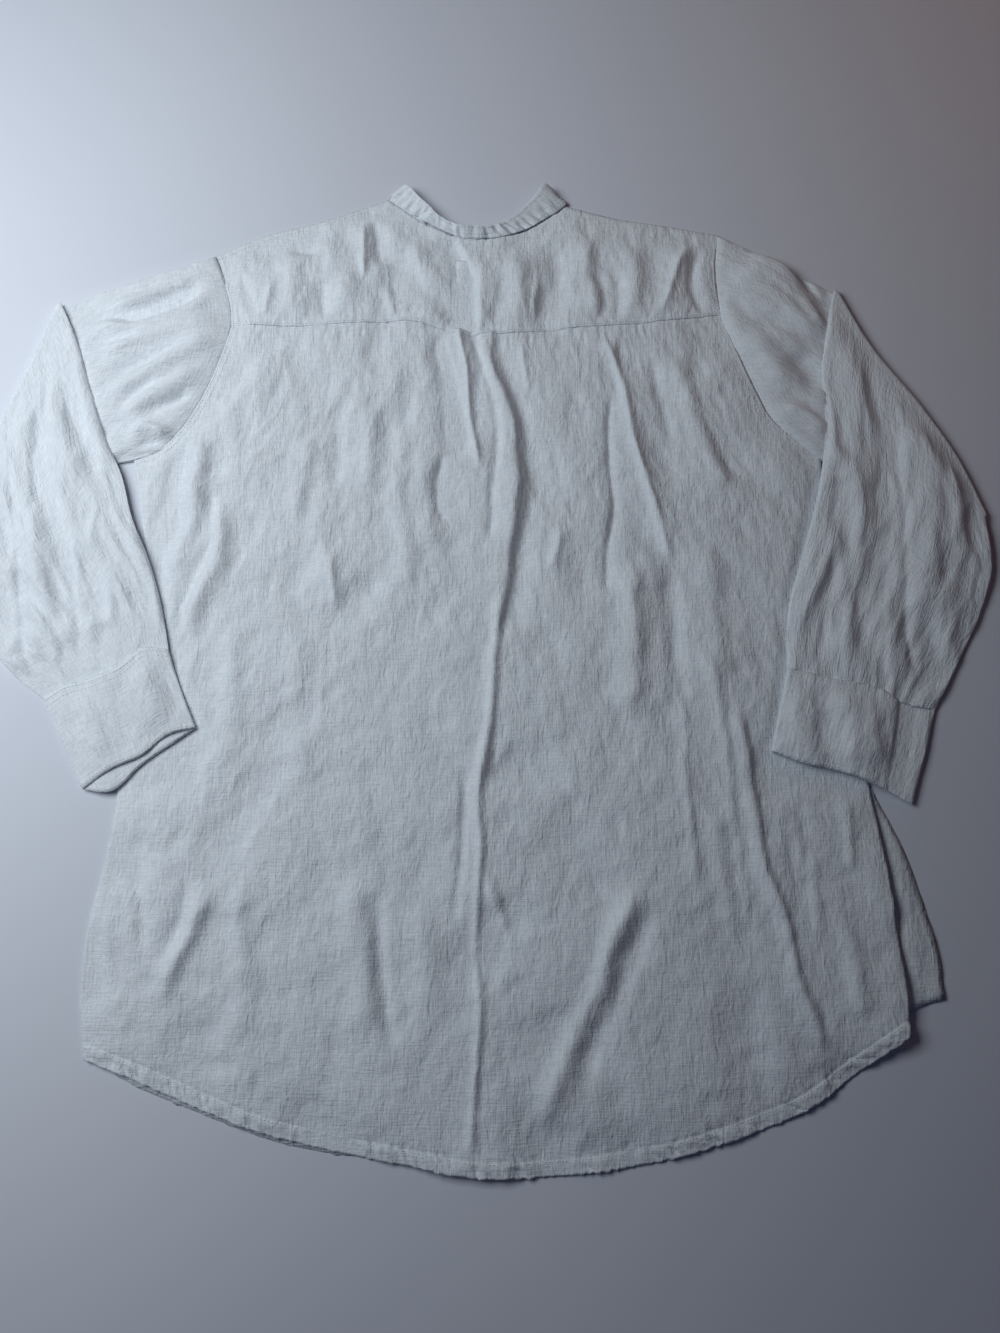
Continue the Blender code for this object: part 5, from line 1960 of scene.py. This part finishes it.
    def cuff_layers(self, crumple: Crumple) -> tuple[Array, Array, Array]:
        """Both layers of the cuff from the sleeve to its mouth.

        Args:
            crumple: random wrinkles.

        Returns:
            Points of the lower and the upper layer, and their places on the cloth.
        """
        widths = self.widths()
        rounding = self.rounding(widths)[:, None]
        places = np.linspace(0, 1, self.cuff_rows)
        start = along(self.cuff_seam, widths)
        grids = []
        for mouth in (self.mouth_upper, self.mouth_under):
            end = along(mouth, widths)
            way = (end - start) / np.linalg.norm(end - start, axis=1, keepdims=True)
            begin = start - self.cuff_lap * way
            inner_line = along((begin[0], self.cuff_inner[1], end[0]), places)
            outer_line = along((begin[-1], self.cuff_outer[1], end[-1]), places)
            grids.append(patch(begin, end, inner_line, outer_line, widths, places))
        upper, under = grids
        span = np.linalg.norm(np.diff(start, axis=0), axis=1).sum()
        long = np.linalg.norm(np.diff(upper, axis=1), axis=-1).sum(axis=1).mean()
        u, v = np.meshgrid(widths * span, places * long, indexing="ij")
        measure = np.stack([u, v], axis=-1)
        rough = crumple.heights(measure + 333 * (self.side + 2)) * 0.7
        arch = np.sin(math.pi * widths)[:, None] ** 0.5
        lip = np.exp(-(places * long)[None] / 0.9)
        seam = bell((places * long)[None], 5.5, 1.3)
        gathers = crumple.puckers(u * 0.9, v * 0.5 + 130) * 0.3 * np.exp(-v / 7)
        body = self.puff * arch * 0.85 + crease_heights(self.cuff_creases, upper) + rough + gathers
        body = body + self.mouth_gap * arch * smooth_step((places[None] - 0.45) / 0.55)
        body = body - 0.5 * lip - 0.25 * seam
        rim = self.edge_lift * bell(widths * span, 0, self.edge_way)[:, None]
        middle_high = self.laid_level - self.sunk(upper) + rim
        middle_low = self.laid_level - self.sunk(under) + rim
        high = middle_high + rounding * np.maximum(self.half + 0.25 + body, 0.9)
        low = middle_low - rounding * (self.half - 0.15)
        meet = (1 - rounding) ** 2
        low = low * (1 - meet) + high * meet
        edge = (1 - rounding)[..., None] ** 2
        under = under * (1 - edge) + upper * edge
        return np.dstack([under, low]), np.dstack([upper, high]), measure

    def build(self, crumple: Crumple, wardrobe: Wardrobe, maker: StitchMaker) -> None:
        """Args:
            crumple: random wrinkles.
            wardrobe: finishes and frame.
            maker: maker of the stitches.
        """
        near, far, measure = self.sleeve_layers(crumple)
        sleeve = tube_shell(f"sleeve_{self.name}_cloth", near, far, self.wall, measure, wardrobe)
        low, high, measure = self.cuff_layers(crumple)
        cuff = tube_shell(f"cuff_{self.name}_cloth", low, high, self.cuff_wall, measure, wardrobe)
        lift = np.array([0, 0, self.thread_lift])
        inner = np.s_[2:-2]  # the rows stop short of both edges
        rows = [
            high[inner, 1] + lift,
            high[inner, 2] * 0.4 + high[inner, 3] * 0.6 + lift,
            high[inner, -2] + lift,
            low[inner, -2] - lift,
        ]
        sewn = maker.sew(f"cuff_{self.name}_stitches", rows, wardrobe)
        dress(sleeve, f"sleeve_{self.name}")
        dress(cuff, f"cuff_{self.name}")


def left_sleeve(pattern: BodyPattern) -> Sleeve:
    """The wearer's left sleeve.

    Args:
        pattern: outlines of the body, for the armhole.

    Returns:
        The sleeve with its outlines and creases.
    """
    return Sleeve(
        name="left",
        side=-1,
        armhole=pattern.armhole(True),
        fold_line=((-367, 296), (-390, 228), (-404, 190), (-420, 130), (-424, 95)),
        inner=(
            (-367, 296), (-348, 263), (-329, 210), (-314, 168), (-297, 132), (-286, 96), (-270, 61),
            (-256, 20), (-247, -19),
        ),
        outer=((-424, 95), (-420, 55), (-409, 14), (-390, -20), (-369, -42), (-347, -58)),
        cuff_seam=((-247, -19), (-268, -18), (-286, -34), (-310, -43), (-330, -48), (-347, -58)),
        cuff_inner=((-247, -19), (-237, -46), (-221, -82)),
        cuff_outer=((-347, -58), (-330, -92), (-309, -131)),
        mouth_upper=((-221, -82), (-243, -88), (-262, -104), (-286, -115), (-309, -131)),
        mouth_under=((-221, -82), (-234, -91), (-262, -111), (-287, -133), (-309, -131)),
        drop_start=288.0,
        ledge=(
            (-403, 201), (-402, 176), (-395, 151), (-392, 119), (-381, 72), (-380, 43), (-375, 8),
            (-370, -18), (-357, -45), (-345, -61),
        ),
        mouth_gap=-1.4,
        dome=4.0,
        bold=2.1,
        upper_creases=(
            Crease(((-320, 278), (-277, 290), (-240, 312)), 8, 9, -4.6),
            Crease(((-330, 292), (-284, 302), (-240, 326)), 4, 5, 2.6),
            Crease(((-338, 269), (-295, 276), (-247, 291), (-228, 309)), 8, 8, 2.6),
            Crease(((-343, 280), (-307, 284), (-283, 281)), 4, 4, -1.4),
            Crease(((-328, 242), (-293, 259), (-254, 272), (-222, 280)), 7, 7, 2.4),
            Crease(((-323, 225), (-299, 233), (-272, 247), (-241, 259)), 5, 6, -2.0),
            Crease(((-319, 207), (-291, 223), (-256, 247), (-225, 267)), 8, 8, 2.6),
            Crease(((-310, 188), (-290, 212), (-271, 227)), 5, 5, -1.8),
            Crease(((-305, 182), (-281, 201), (-254, 220), (-235, 234)), 8, 8, 2.6),
            Crease(((-288, 186), (-265, 197), (-242, 214)), 5, 5, -2.0),
            Crease(((-294, 169), (-281, 177), (-267, 174), (-257, 165)), 5, 5, 4.0, Crest.SHARP),
            Crease(((-286, 160), (-272, 165), (-262, 160)), 4, 4, -2.0),
            Crease(((-335, 258), (-309, 259), (-286, 267)), 4, 5, -1.4),
        ),
        lower_creases=(
            Crease(((-392, 200), (-380, 120), (-370, 40), (-350, -30)), 9, 72, 4.0),
            Crease(((-373, 261), (-362, 226), (-353, 187), (-341, 145), (-328, 112)), 13, 12, 3.4),
            Crease(((-352, 226), (-339, 183), (-326, 149), (-318, 120)), 7, 8, -3.0),
            Crease(((-344, 243), (-326, 196), (-311, 154), (-302, 116)), 8, 6, 2.8),
            Crease(
                ((-351, 129), (-344, 96), (-336, 64), (-330, 32), (-322, -7), (-318, -34)),
                6, 3, -2.6, Crest.SHARP,
            ),
            Crease(((-380, 187), (-370, 145), (-355, 104), (-348, 72), (-342, 32), (-335, -7)), 10, 12, -2.8),
            Crease(((-367, 112), (-361, 72), (-353, 24), (-345, -19)), 10, 8, 2.8),
            Crease(((-321, 96), (-306, 72), (-290, 48), (-279, 12)), 13, 11, 4.0),
            Crease(((-322, 64), (-312, 32), (-300, 1), (-290, -26)), 8, 7, -2.6),
            Crease(((-290, 96), (-276, 64), (-263, 32), (-253, -3)), 7, 6, 2.6),
            Crease(((-318, 12), (-308, -15), (-302, -38)), 6, 5, 2.0),
            Crease(((-356, 287), (-345, 256), (-334, 226)), 5, 4, 1.8),
            Crease(((-381, 217), (-380, 183), (-378, 145)), 7, 7, 2.2),
            Crease(((-288, -7), (-279, -26)), 5, 5, -1.8),
            Crease(((-270, 8), (-263, -17)), 5, 5, 1.8),
        ),
        cuff_creases=(
            Crease(((-273, -30), (-258, -57), (-246, -83)), 12, 9, 3.2),
            Crease(((-259, -26), (-244, -49), (-233, -75)), 5, 7, -2.4),
            Crease(((-320, -49), (-306, -79), (-291, -112)), 11, 10, 2.2),
            Crease(((-295, -41), (-281, -68), (-268, -94)), 8, 8, -1.8),
        ),
    )


def right_sleeve(pattern: BodyPattern) -> Sleeve:
    """The wearer's right sleeve.

    Args:
        pattern: outlines of the body, for the armhole.

    Returns:
        The sleeve with its outlines and creases.
    """
    return Sleeve(
        name="right",
        side=1,
        armhole=pattern.armhole(False),
        fold_line=((320, 309), (347, 253), (386, 196), (412, 150), (432, 98)),
        inner=(
            (320, 309), (308, 273), (301, 230), (301, 180), (290, 118), (273, 61), (260, 20), (255, -34),
        ),
        outer=((432, 98), (430, 48), (418, 13), (402, -17), (385, -48), (373, -68)),
        cuff_seam=((255, -34), (291, -44), (324, -50), (347, -62), (373, -68)),
        cuff_inner=((255, -34), (247, -66), (238, -101)),
        cuff_outer=((373, -68), (362, -104), (348, -143)),
        mouth_upper=((238, -101), (263, -111), (290, -117), (316, -126), (348, -143)),
        mouth_under=((238, -101), (263, -111), (290, -117), (316, -126), (348, -143)),
        drop_start=326.0,
        drop=3.0,
        dome=5.0,
        crown_ease=9.0,
        lively=0.5,
        upper_creases=(
            Crease(((248, 352), (272, 320), (292, 288), (302, 256)), 36, 9, 8.0),
            Crease(((254, 350), (282, 327), (307, 302)), 5, 6, -2.6, Crest.SHARP),
            Crease(((249, 327), (280, 293), (300, 262)), 4, 4, -2.0),
            Crease(((262, 337), (291, 309), (307, 284)), 6, 6, 2.2),
            Crease(((279, 253), (289, 229), (299, 205)), 11, 12, -5.5),
            Crease(((234, 264), (256, 240), (271, 212)), 10, 10, 3.4),
            Crease(((264, 197), (283, 191), (297, 181)), 6, 6, 4.0, Crest.SHARP),
            Crease(((266, 205), (283, 202), (297, 194)), 5, 5, -2.2),
            Crease(((222, 253), (239, 214), (259, 184)), 6, 6, -2.2),
            Crease(((288, 169), (297, 182), (300, 188)), 5, 5, 2.6),
            Crease(((296, 324), (306, 307), (313, 299)), 5, 5, 2.2),
            Crease(((223, 305), (242, 280), (263, 258)), 5, 5, -1.8),
        ),
        lower_creases=(
            Crease(((315, 287), (329, 243), (332, 200), (337, 162)), 10, 8, 3.4),
            Crease(((341, 243), (348, 196), (351, 154), (350, 120)), 10, 9, -4.0),
            Crease(
                ((363, 207), (362, 162), (360, 129), (361, 88), (357, 32), (358, -45)),
                5, 3, -2.4, Crest.SHARP,
            ),
            Crease(((381, 183), (385, 137), (383, 96), (373, 48), (367, 1)), 15, 20, 5.0),
            Crease(((336, 137), (349, 104), (340, 56), (330, 1)), 12, 10, -3.6),
            Crease(((301, 166), (321, 135), (324, 100), (319, 64)), 9, 7, 3.8),
            Crease(((328, 129), (328, 96), (324, 64)), 4, 6, -2.2, Crest.SHARP),
            Crease(((287, 125), (307, 128), (323, 135)), 4, 4, 1.8),
            Crease(((401, 143), (405, 104), (405, 54)), 6, 6, 3.2),
            Crease(((419, 120), (420, 88), (416, 56)), 7, 6, -2.6),
            Crease(((293, 100), (298, 66), (279, 32), (264, -7)), 9, 9, 3.4),
            Crease(((303, 72), (294, 32), (283, -7), (276, -38)), 6, 6, -2.4),
            Crease(((316, 48), (318, 5), (318, -30)), 8, 9, -3.0),
            Crease(((306, 56), (305, 8), (300, -34)), 7, 7, 2.4),
            Crease(((338, 36), (343, -3), (342, -45)), 9, 9, 3.0),
            Crease(((383, 5), (372, -26), (365, -58)), 8, 8, -3.0),
            Crease(((394, 48), (392, 8), (381, -30)), 10, 9, 3.0),
            Crease(((310, 265), (306, 226), (298, 183), (293, 145)), 6, 7, -2.2),
            Crease(((281, 88), (273, 48), (263, 8), (258, -26)), 5, 6, -1.8),
        ),
        cuff_creases=(
            Crease(((260, -41), (261, -79), (255, -112)), 14, 14, 3.0),
            Crease(((352, -40), (341, -90), (333, -125), (328, -160)), 4, 13, -4.6),
            Crease(((317, -49), (318, -86), (319, -118)), 46, 8, 4.6),
            Crease(((280, -45), (281, -79), (279, -116)), 7, 7, -1.8),
            Crease(((299, -49), (300, -83), (301, -116)), 8, 8, 1.8),
        ),
    )


# Collar


@dataclass(frozen=True)
class Horn:
    """Turn of the collar band over the shoulder: centres and radii at both its edges."""

    seam: tuple[float, float]
    top: tuple[float, float]
    out: tuple[float, float]
    seam_radius: float
    top_radius: float

    def rows(self, upward: bool, level: float) -> list[tuple[float, ...]]:
        """Stations of the band round the horn.

        Args:
            upward: whether they run from the table side up.
            level: middle height of the cloth on the table.

        Returns:
            Seam edge and top edge of each station.
        """
        angles = np.linspace(-math.pi / 2, math.pi / 2, 8)
        result = []
        for angle in angles if upward else angles[::-1]:
            reach = math.cos(angle)
            rise = math.sin(angle) + 1
            result.append(
                (
                    self.seam[0] + self.seam_radius * reach * self.out[0],
                    self.seam[1] + self.seam_radius * reach * self.out[1],
                    level + self.seam_radius * rise,
                    self.top[0] + self.top_radius * reach * self.out[0],
                    self.top[1] + self.top_radius * reach * self.out[1],
                    level + 0.4 + self.top_radius * rise,
                )
            )
        return result


@dataclass
class CollarBand:
    """Band collar as one strip, on the table in front and standing behind the neck; sizes in millimetres."""

    crumple: Crumple
    level: float = 0.55  # middle of the cloth on the table
    placket: float = 2.25  # on the placket
    stand: float = 3.65  # on the button stand
    back: float = 3.15  # at the neck seam behind
    half_wall: float = 0.7
    seam_thin: float = 0.55  # share by which the band is thinner at its seam
    columns: int = 300
    rows: int = 15
    overlap: float = 1.5  # step where one part of the band lies over the next
    seam_row: float = 2.8  # rows of stitches from both edges
    row_width: float = 0.9
    row_shares: tuple[float, float] = (0.14, 0.86)
    thread_lift: float = 0.1
    flat: tuple[float, float] = (0.44, 0.027)
    area: float = 0.0105
    right_horn: Horn = Horn((81.6, 395.4), (59.5, 407.5), (0.76, 0.65), 0.75, 5.6)
    left_horn: Horn = Horn((-78.4, 402.6), (-61.0, 409.5), (-0.76, 0.65), 0.75, 5.4)

    def stations(self) -> Array:
        """List the band from the right end to the left one.

        Returns:
            Seam edge and top edge of each station, as six coordinates.
        """
        front_right = [
            (-14, 312.2, self.placket, -14, 336, self.placket),
            (0, 312.2, self.placket, 0, 336, self.placket),
            (14, 313.4, self.placket, 10, 337, self.placket),
            (21.5, 316.1, 1.3, 16, 340, 1.3),
            (30.4, 320.6, self.level, 20, 343, self.level),
            (40.2, 326.9, self.level, 27, 348, self.level),
            (58.0, 345.7, self.level, 39, 361, self.level),
            (70.9, 368.5, self.level, 51, 381, 0.8),
            (77.0, 382.5, self.level, 57, 395, 1.0),
        ]
        behind = [
            (77.5, 390.6, self.back - 0.4, 56.5, 403, 11.0),
            (66, 382.5, self.back, 47, 393, 7.6),
            (49, 371.6, self.back, 34, 380, 7.2),
            (33, 364.6, 3.9, 22, 372.5, 8.4),
            (16, 360.4, 4.9, 11, 368.5, 10.5),
            (0, 359.4, 5.0, 0, 368.5, 12.0),
            (-16, 361.4, 4.8, -17, 369.5, 12.6),
            (-31, 369.0, 4.0, -31.5, 377, 12.2),
            (-50, 380.6, self.back, -41, 387, 13.5),
            (-66, 392.0, self.back, -53, 400, 13.0),
            (-73.5, 397.9, self.back - 0.6, -58, 407, 12.5),
        ]
        front_left = [
            (-73.2, 387, self.level, -55, 399, 1.0),
            (-67.7, 370.6, self.level, -47, 383, 0.8),
            (-55.9, 346.8, self.level, -37, 363, self.level),
            (-38.0, 327.0, self.level, -25, 347, self.level),
            (-29.5, 321.5, self.level, -20, 343, self.level),
            (-23.4, 318.6, 0.9, -17, 341, 0.9),
            (-16, 315.6, self.stand, -12, 338.4, self.stand),
            (-2, 313.4, self.stand, -2, 336.6, self.stand),
            (13, 312.3, self.stand, 13, 336, self.stand),
        ]
        rows = front_right + self.right_horn.rows(True, self.level) + behind
        rows += self.left_horn.rows(False, self.level) + front_left
        return np.array(rows, dtype=float)

    def middle(self) -> tuple[Array, Array]:
        """Middle surface of the band.

        Returns:
            Its points and their places on the cloth, in millimetres.
        """
        rows = self.stations()
        middle = (rows[:, :3] + rows[:, 3:]) / 2
        steps = np.linalg.norm(np.diff(middle, axis=0), axis=1)
        runs = np.concatenate([[0.0], np.cumsum(steps)])
        places = np.linspace(0, runs[-1], self.columns)
        fine = through(runs, rows, places)
        share = np.linspace(0, 1, self.rows)[None, :, None]
        grid = fine[:, None, :3] * (1 - share) + fine[:, None, 3:] * share
        tall = np.linalg.norm(fine[:, 3:] - fine[:, :3], axis=1)
        u, v = np.meshgrid(places, share[0, :, 0], indexing="ij")
        return grid, np.stack([u, v * tall[:, None]], axis=-1)

    def faces(self) -> tuple[Array, Array, Array]:
        """Faces of the band.

        Returns:
            Outer face, inner face and their places on the cloth, in millimetres.
        """
        grid, measure = self.middle()
        outward = -surface_normals(grid, False)
        standing = smooth_step((grid[..., 2].max(axis=1, keepdims=True) - 4.6) / 2)
        x = grid[..., 0]
        run, tall = measure[..., 0], measure[..., 1]
        shape = 1.2 * self.crumple.puckers(run * 0.8, tall * 0.35 + 55) * bell(tall, 6, 7)
        shape += 0.5 * self.crumple.heights(measure + 77)
        shape -= self.overlap * smooth_step((-x - 17.5) / 1.2) - self.overlap * smooth_step((x - 19.5) / 1.2)
        seam = bell(tall, self.seam_row, self.row_width)
        rim = bell(tall.max(axis=1, keepdims=True) - tall, self.seam_row, self.row_width)
        shape = shape * standing - 0.28 * seam - 0.22 * rim
        skin = grid + outward * shape[..., None]
        half = (self.half_wall * (1 - self.seam_thin * (1 - smooth_step(tall / 2.4))))[..., None]
        return skin + outward * half, skin - outward * half, measure

    def build(self, wardrobe: Wardrobe, maker: StitchMaker) -> None:
        """Args:
            wardrobe: finishes and frame.
            maker: maker of the stitches.
        """
        face, back, measure = self.faces()
        band = slab_shell("collar_cloth", face, back, measure, wardrobe)
        outward = face - back
        outward /= np.linalg.norm(outward, axis=-1, keepdims=True)
        on_face = face + self.thread_lift * outward
        rows = []
        for share in self.row_shares:
            place = share * (self.rows - 1)
            low = int(place)
            rows.append(on_face[3:-3, low] * (1 - place + low) + on_face[3:-3, low + 1] * (place - low))
        sewn = maker.sew("collar_stitches", rows, wardrobe)
        dress(band, "collar")


def slab_shell(name: str, face: Array, back: Array, measure: Array, wardrobe: Wardrobe) -> Piece:
    """Closed shell between two grids of the same size.

    Args:
        name: name of the piece.
        face: points of one face in millimetres.
        back: points of the other face.
        measure: places on the cloth in millimetres.
        wardrobe: finishes and frame.

    Returns:
        The piece.
    """
    count_u, count_v = face.shape[:2]
    quads = grid_quads(count_u, count_v)
    base = count_u * count_v
    faces = quads.tolist() + (quads[:, ::-1] + base).tolist()
    border = [a * count_v + b for a, b in grid_border(count_u, count_v)]
    for here, there in zip(border, border[1:] + border[:1]):
        faces.append([here, here + base, there + base, there])
    verts = wardrobe.to_frame(np.concatenate([face.reshape(-1, 3), back.reshape(-1, 3)]))
    uv = np.concatenate([measure.reshape(-1, 2)] * 2) * MM
    return cloth_object(name, verts, faces, uv, wardrobe.linen)


# Buttons


@dataclass
class Buttons:
    """Four-hole buttons that lie face down on the table; sizes in millimetres."""

    thickness: float = 1.4
    holes: int = 4
    hole_radius: float = 0.75
    hole_reach: float = 1.35  # from the middle of the button
    hole_segments: int = 16
    drill_length: float = 6.0
    segments: int = 40
    sharp_angle: float = 40.0  # degrees beyond which an edge is shaded sharp
    profile: Outline = (
        (0.0, 0.95), (2.2, 0.95), (3.1, 1.02), (3.6, 1.3), (4.2, 1.4), (4.8, 1.34), (5.25, 1.1),
        (5.45, 0.8), (5.5, 0.55), (5.35, 0.25), (4.8, 0.06), (4.0, 0.0), (0.0, 0.0),
    )

    def turned(self) -> bpy.types.Mesh:
        """Turn one button with its rim and dish, face down on zero.

        Returns:
            The mesh in metres.
        """
        disc = bmesh.new()
        rings = []
        for reach, height in self.profile:
            level = (self.thickness - height) * MM
            if reach == 0:
                rings.append([disc.verts.new((0, 0, level))])
                continue
            turn = [2 * math.pi * k / self.segments for k in range(self.segments)]
            places = [(reach * MM * math.cos(a), reach * MM * math.sin(a), level) for a in turn]
            rings.append([disc.verts.new(place) for place in places])
        for low, high in zip(rings, rings[1:]):
            for k in range(self.segments):
                after = (k + 1) % self.segments
                corners = [low[k % len(low)], low[after % len(low)]]
                corners += [high[after % len(high)], high[k % len(high)]]
                disc.faces.new(list(dict.fromkeys(corners)))
        bmesh.ops.recalc_face_normals(disc, faces=disc.faces[:])
        mesh = bpy.data.meshes.new("button_blank")
        disc.to_mesh(mesh)
        disc.free()
        return mesh

    def drills(self) -> bpy.types.Mesh:
        """Make a round drill for every hole.

        Returns:
            The mesh in metres.
        """
        drills = bmesh.new()
        for k in range(self.holes):
            angle = math.pi / 4 + k * math.pi / 2
            made = bmesh.ops.create_cone(
                drills,
                cap_ends=True,
                segments=self.hole_segments,
                radius1=self.hole_radius * MM,
                radius2=self.hole_radius * MM,
                depth=self.drill_length * MM,
            )
            reach = self.hole_reach * MM
            way = (reach * math.cos(angle), reach * math.sin(angle), self.thickness / 2 * MM)
            bmesh.ops.translate(drills, verts=made["verts"], vec=way)
        mesh = bpy.data.meshes.new("button_drill")
        drills.to_mesh(mesh)
        drills.free()
        return mesh

    def blank(self) -> bpy.types.Mesh:
        """Drill the turned button.

        Returns:
            The mesh in metres.
        """
        whole = add_object("button_whole", self.turned())
        drill = add_object("button_drill", self.drills())
        cut = whole.modifiers.new("holes", "BOOLEAN")
        cut.operation = "DIFFERENCE"
        cut.solver = "EXACT"
        cut.object = drill
        graph = bpy.context.evaluated_depsgraph_get()
        result = bpy.data.meshes.new_from_object(whole.evaluated_get(graph))
        for piece in (whole, drill):
            bpy.data.objects.remove(piece, do_unlink=True)
        return result

    def build(self, wardrobe: Wardrobe) -> None:
        """Build every button and the threads through its holes.

        Args:
            wardrobe: finishes and frame.
        """
        blank = self.blank()
        reach = self.hole_reach * math.sqrt(0.5)
        runs = []
        for name in sorted(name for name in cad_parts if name.startswith("button_")):
            low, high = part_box(name)
            centre = np.array([(low[0] + high[0]) / 2, (low[1] + high[1]) / 2, low[2]])
            mesh = blank.copy()
            mesh.name = name + "_turned"
            for vertex in mesh.vertices:
                vertex.co = vertex.co[:] + centre
            mesh.materials.clear()
            mesh.materials.append(wardrobe.button)
            mesh.shade_smooth()
            mesh.set_sharp_from_angle(angle=math.radians(self.sharp_angle))
            piece = add_object(name + "_turned", mesh)
            dress(piece, name)
            local = (centre - wardrobe.shift) / MM
            for x in (-reach, -reach * 0.7, reach * 0.7, reach):
                ends = np.array([[x, -1.2 * reach, 0.36], [x, 0, 0.3], [x, 1.2 * reach, 0.36]])
                runs.append(ends + local)
        close = StitchMaker(pitch=0.6, length=1.1, radius=0.16, unevenness=0.05)
        close.sew("button_threads", runs, wardrobe)


# Studio


@dataclass(frozen=True)
class Lamp:
    """One soft rectangular light."""

    name: str
    place: tuple[float, float, float]
    target: tuple[float, float, float]
    size: tuple[float, float]
    power: float
    colour: str

    def build(self) -> None:
        """Place the light and turn it to its target."""
        lamp = bpy.data.lights.new(self.name, "AREA")
        lamp.shape = "RECTANGLE"
        lamp.size, lamp.size_y = self.size
        lamp.energy = self.power
        lamp.color = linear(self.colour)[:3]
        way = np.array(self.target) - np.array(self.place)
        lean = math.atan2(math.hypot(way[0], way[1]), -way[2])
        holder = add_object(self.name, lamp)
        holder.location = self.place
        holder.rotation_euler = (lean, 0.0, math.atan2(way[1], way[0]) - math.pi / 2)


@dataclass
class Studio:
    """Pale table, soft light from the upper left and the camera of the photograph."""

    camera_place: tuple[float, float, float] = (0.0224, -0.2005, 0.80)
    camera_tilt: float = 12.0  # degrees
    camera_lens: float = 27.0  # mm
    camera_sensor: float = 36.0  # mm, width
    table_half: float = 6.0  # metres
    table_level: float = -0.02 * MM
    lamps: tuple[Lamp, ...] = (
        Lamp("window", (-0.79, 0.26, 0.80), (-0.79, 0.26, 0.0), (0.7, 0.95), 10.0, "#F3FAFF"),
        Lamp("room_side", (-0.20, -1.10, 0.90), (0.0, -0.3, 0.0), (0.8, 0.8), 0.15, "#7C84FF"),
        Lamp("hall_lamp", (0.62, 0.80, 0.60), (0.5, 0.45, 0.0), (0.3, 0.3), 0.3, "#FFA862"),
    )
    fill_colour: str = "#B9BEE8"
    fill_strength: float = 0.03

    def build(self, wardrobe: Wardrobe) -> None:
        """Make the table, the lights and the camera.

        Args:
            wardrobe: finishes and frame.
        """
        mesh = bpy.data.meshes.new("table_top")
        half, level = self.table_half, self.table_level
        corners = [(-half, -half, level), (half, -half, level), (half, half, level), (-half, half, level)]
        mesh.from_pydata(corners, [], [(0, 1, 2, 3)])
        mesh.materials.append(MattTable().material())
        table = add_object("table_top", mesh)

        for lamp in self.lamps:
            lamp.build()

        world = bpy.data.worlds.new("room")
        world.use_nodes = True
        sky = world.node_tree.nodes["Background"]
        sky.inputs["Color"].default_value = linear(self.fill_colour)
        sky.inputs["Strength"].default_value = self.fill_strength
        bpy.context.scene.world = world

        lens = bpy.data.cameras.new("phone")
        lens.lens = self.camera_lens
        lens.sensor_width = self.camera_sensor
        camera = add_object("phone", lens)
        camera.location = np.array(self.camera_place) + wardrobe.shift
        camera.rotation_euler = (math.radians(self.camera_tilt), 0, 0)
        bpy.context.scene.camera = camera
        bpy.context.scene.view_settings.view_transform = "Standard"


def main() -> None:
    """Build the shirt, its table and its light."""
    logging.basicConfig(level=logging.INFO, format="%(name)s %(message)s")
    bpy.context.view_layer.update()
    wardrobe = Wardrobe()
    crumple = Crumple()
    maker = StitchMaker()
    pattern = BodyPattern()
    sleeves = [left_sleeve(pattern), right_sleeve(pattern)]
    relief = BodyRelief(pattern, crumple, [sleeve.cover() for sleeve in sleeves])
    Body(pattern, relief).build(wardrobe, maker)
    Fronts(pattern, crumple).build(wardrobe, maker)
    for sleeve in sleeves:
        sleeve.build(crumple, wardrobe, maker)
    CollarBand(crumple).build(wardrobe, maker)
    Buttons().build(wardrobe)
    Studio().build(wardrobe)


if __name__ == "__main__":
    main()
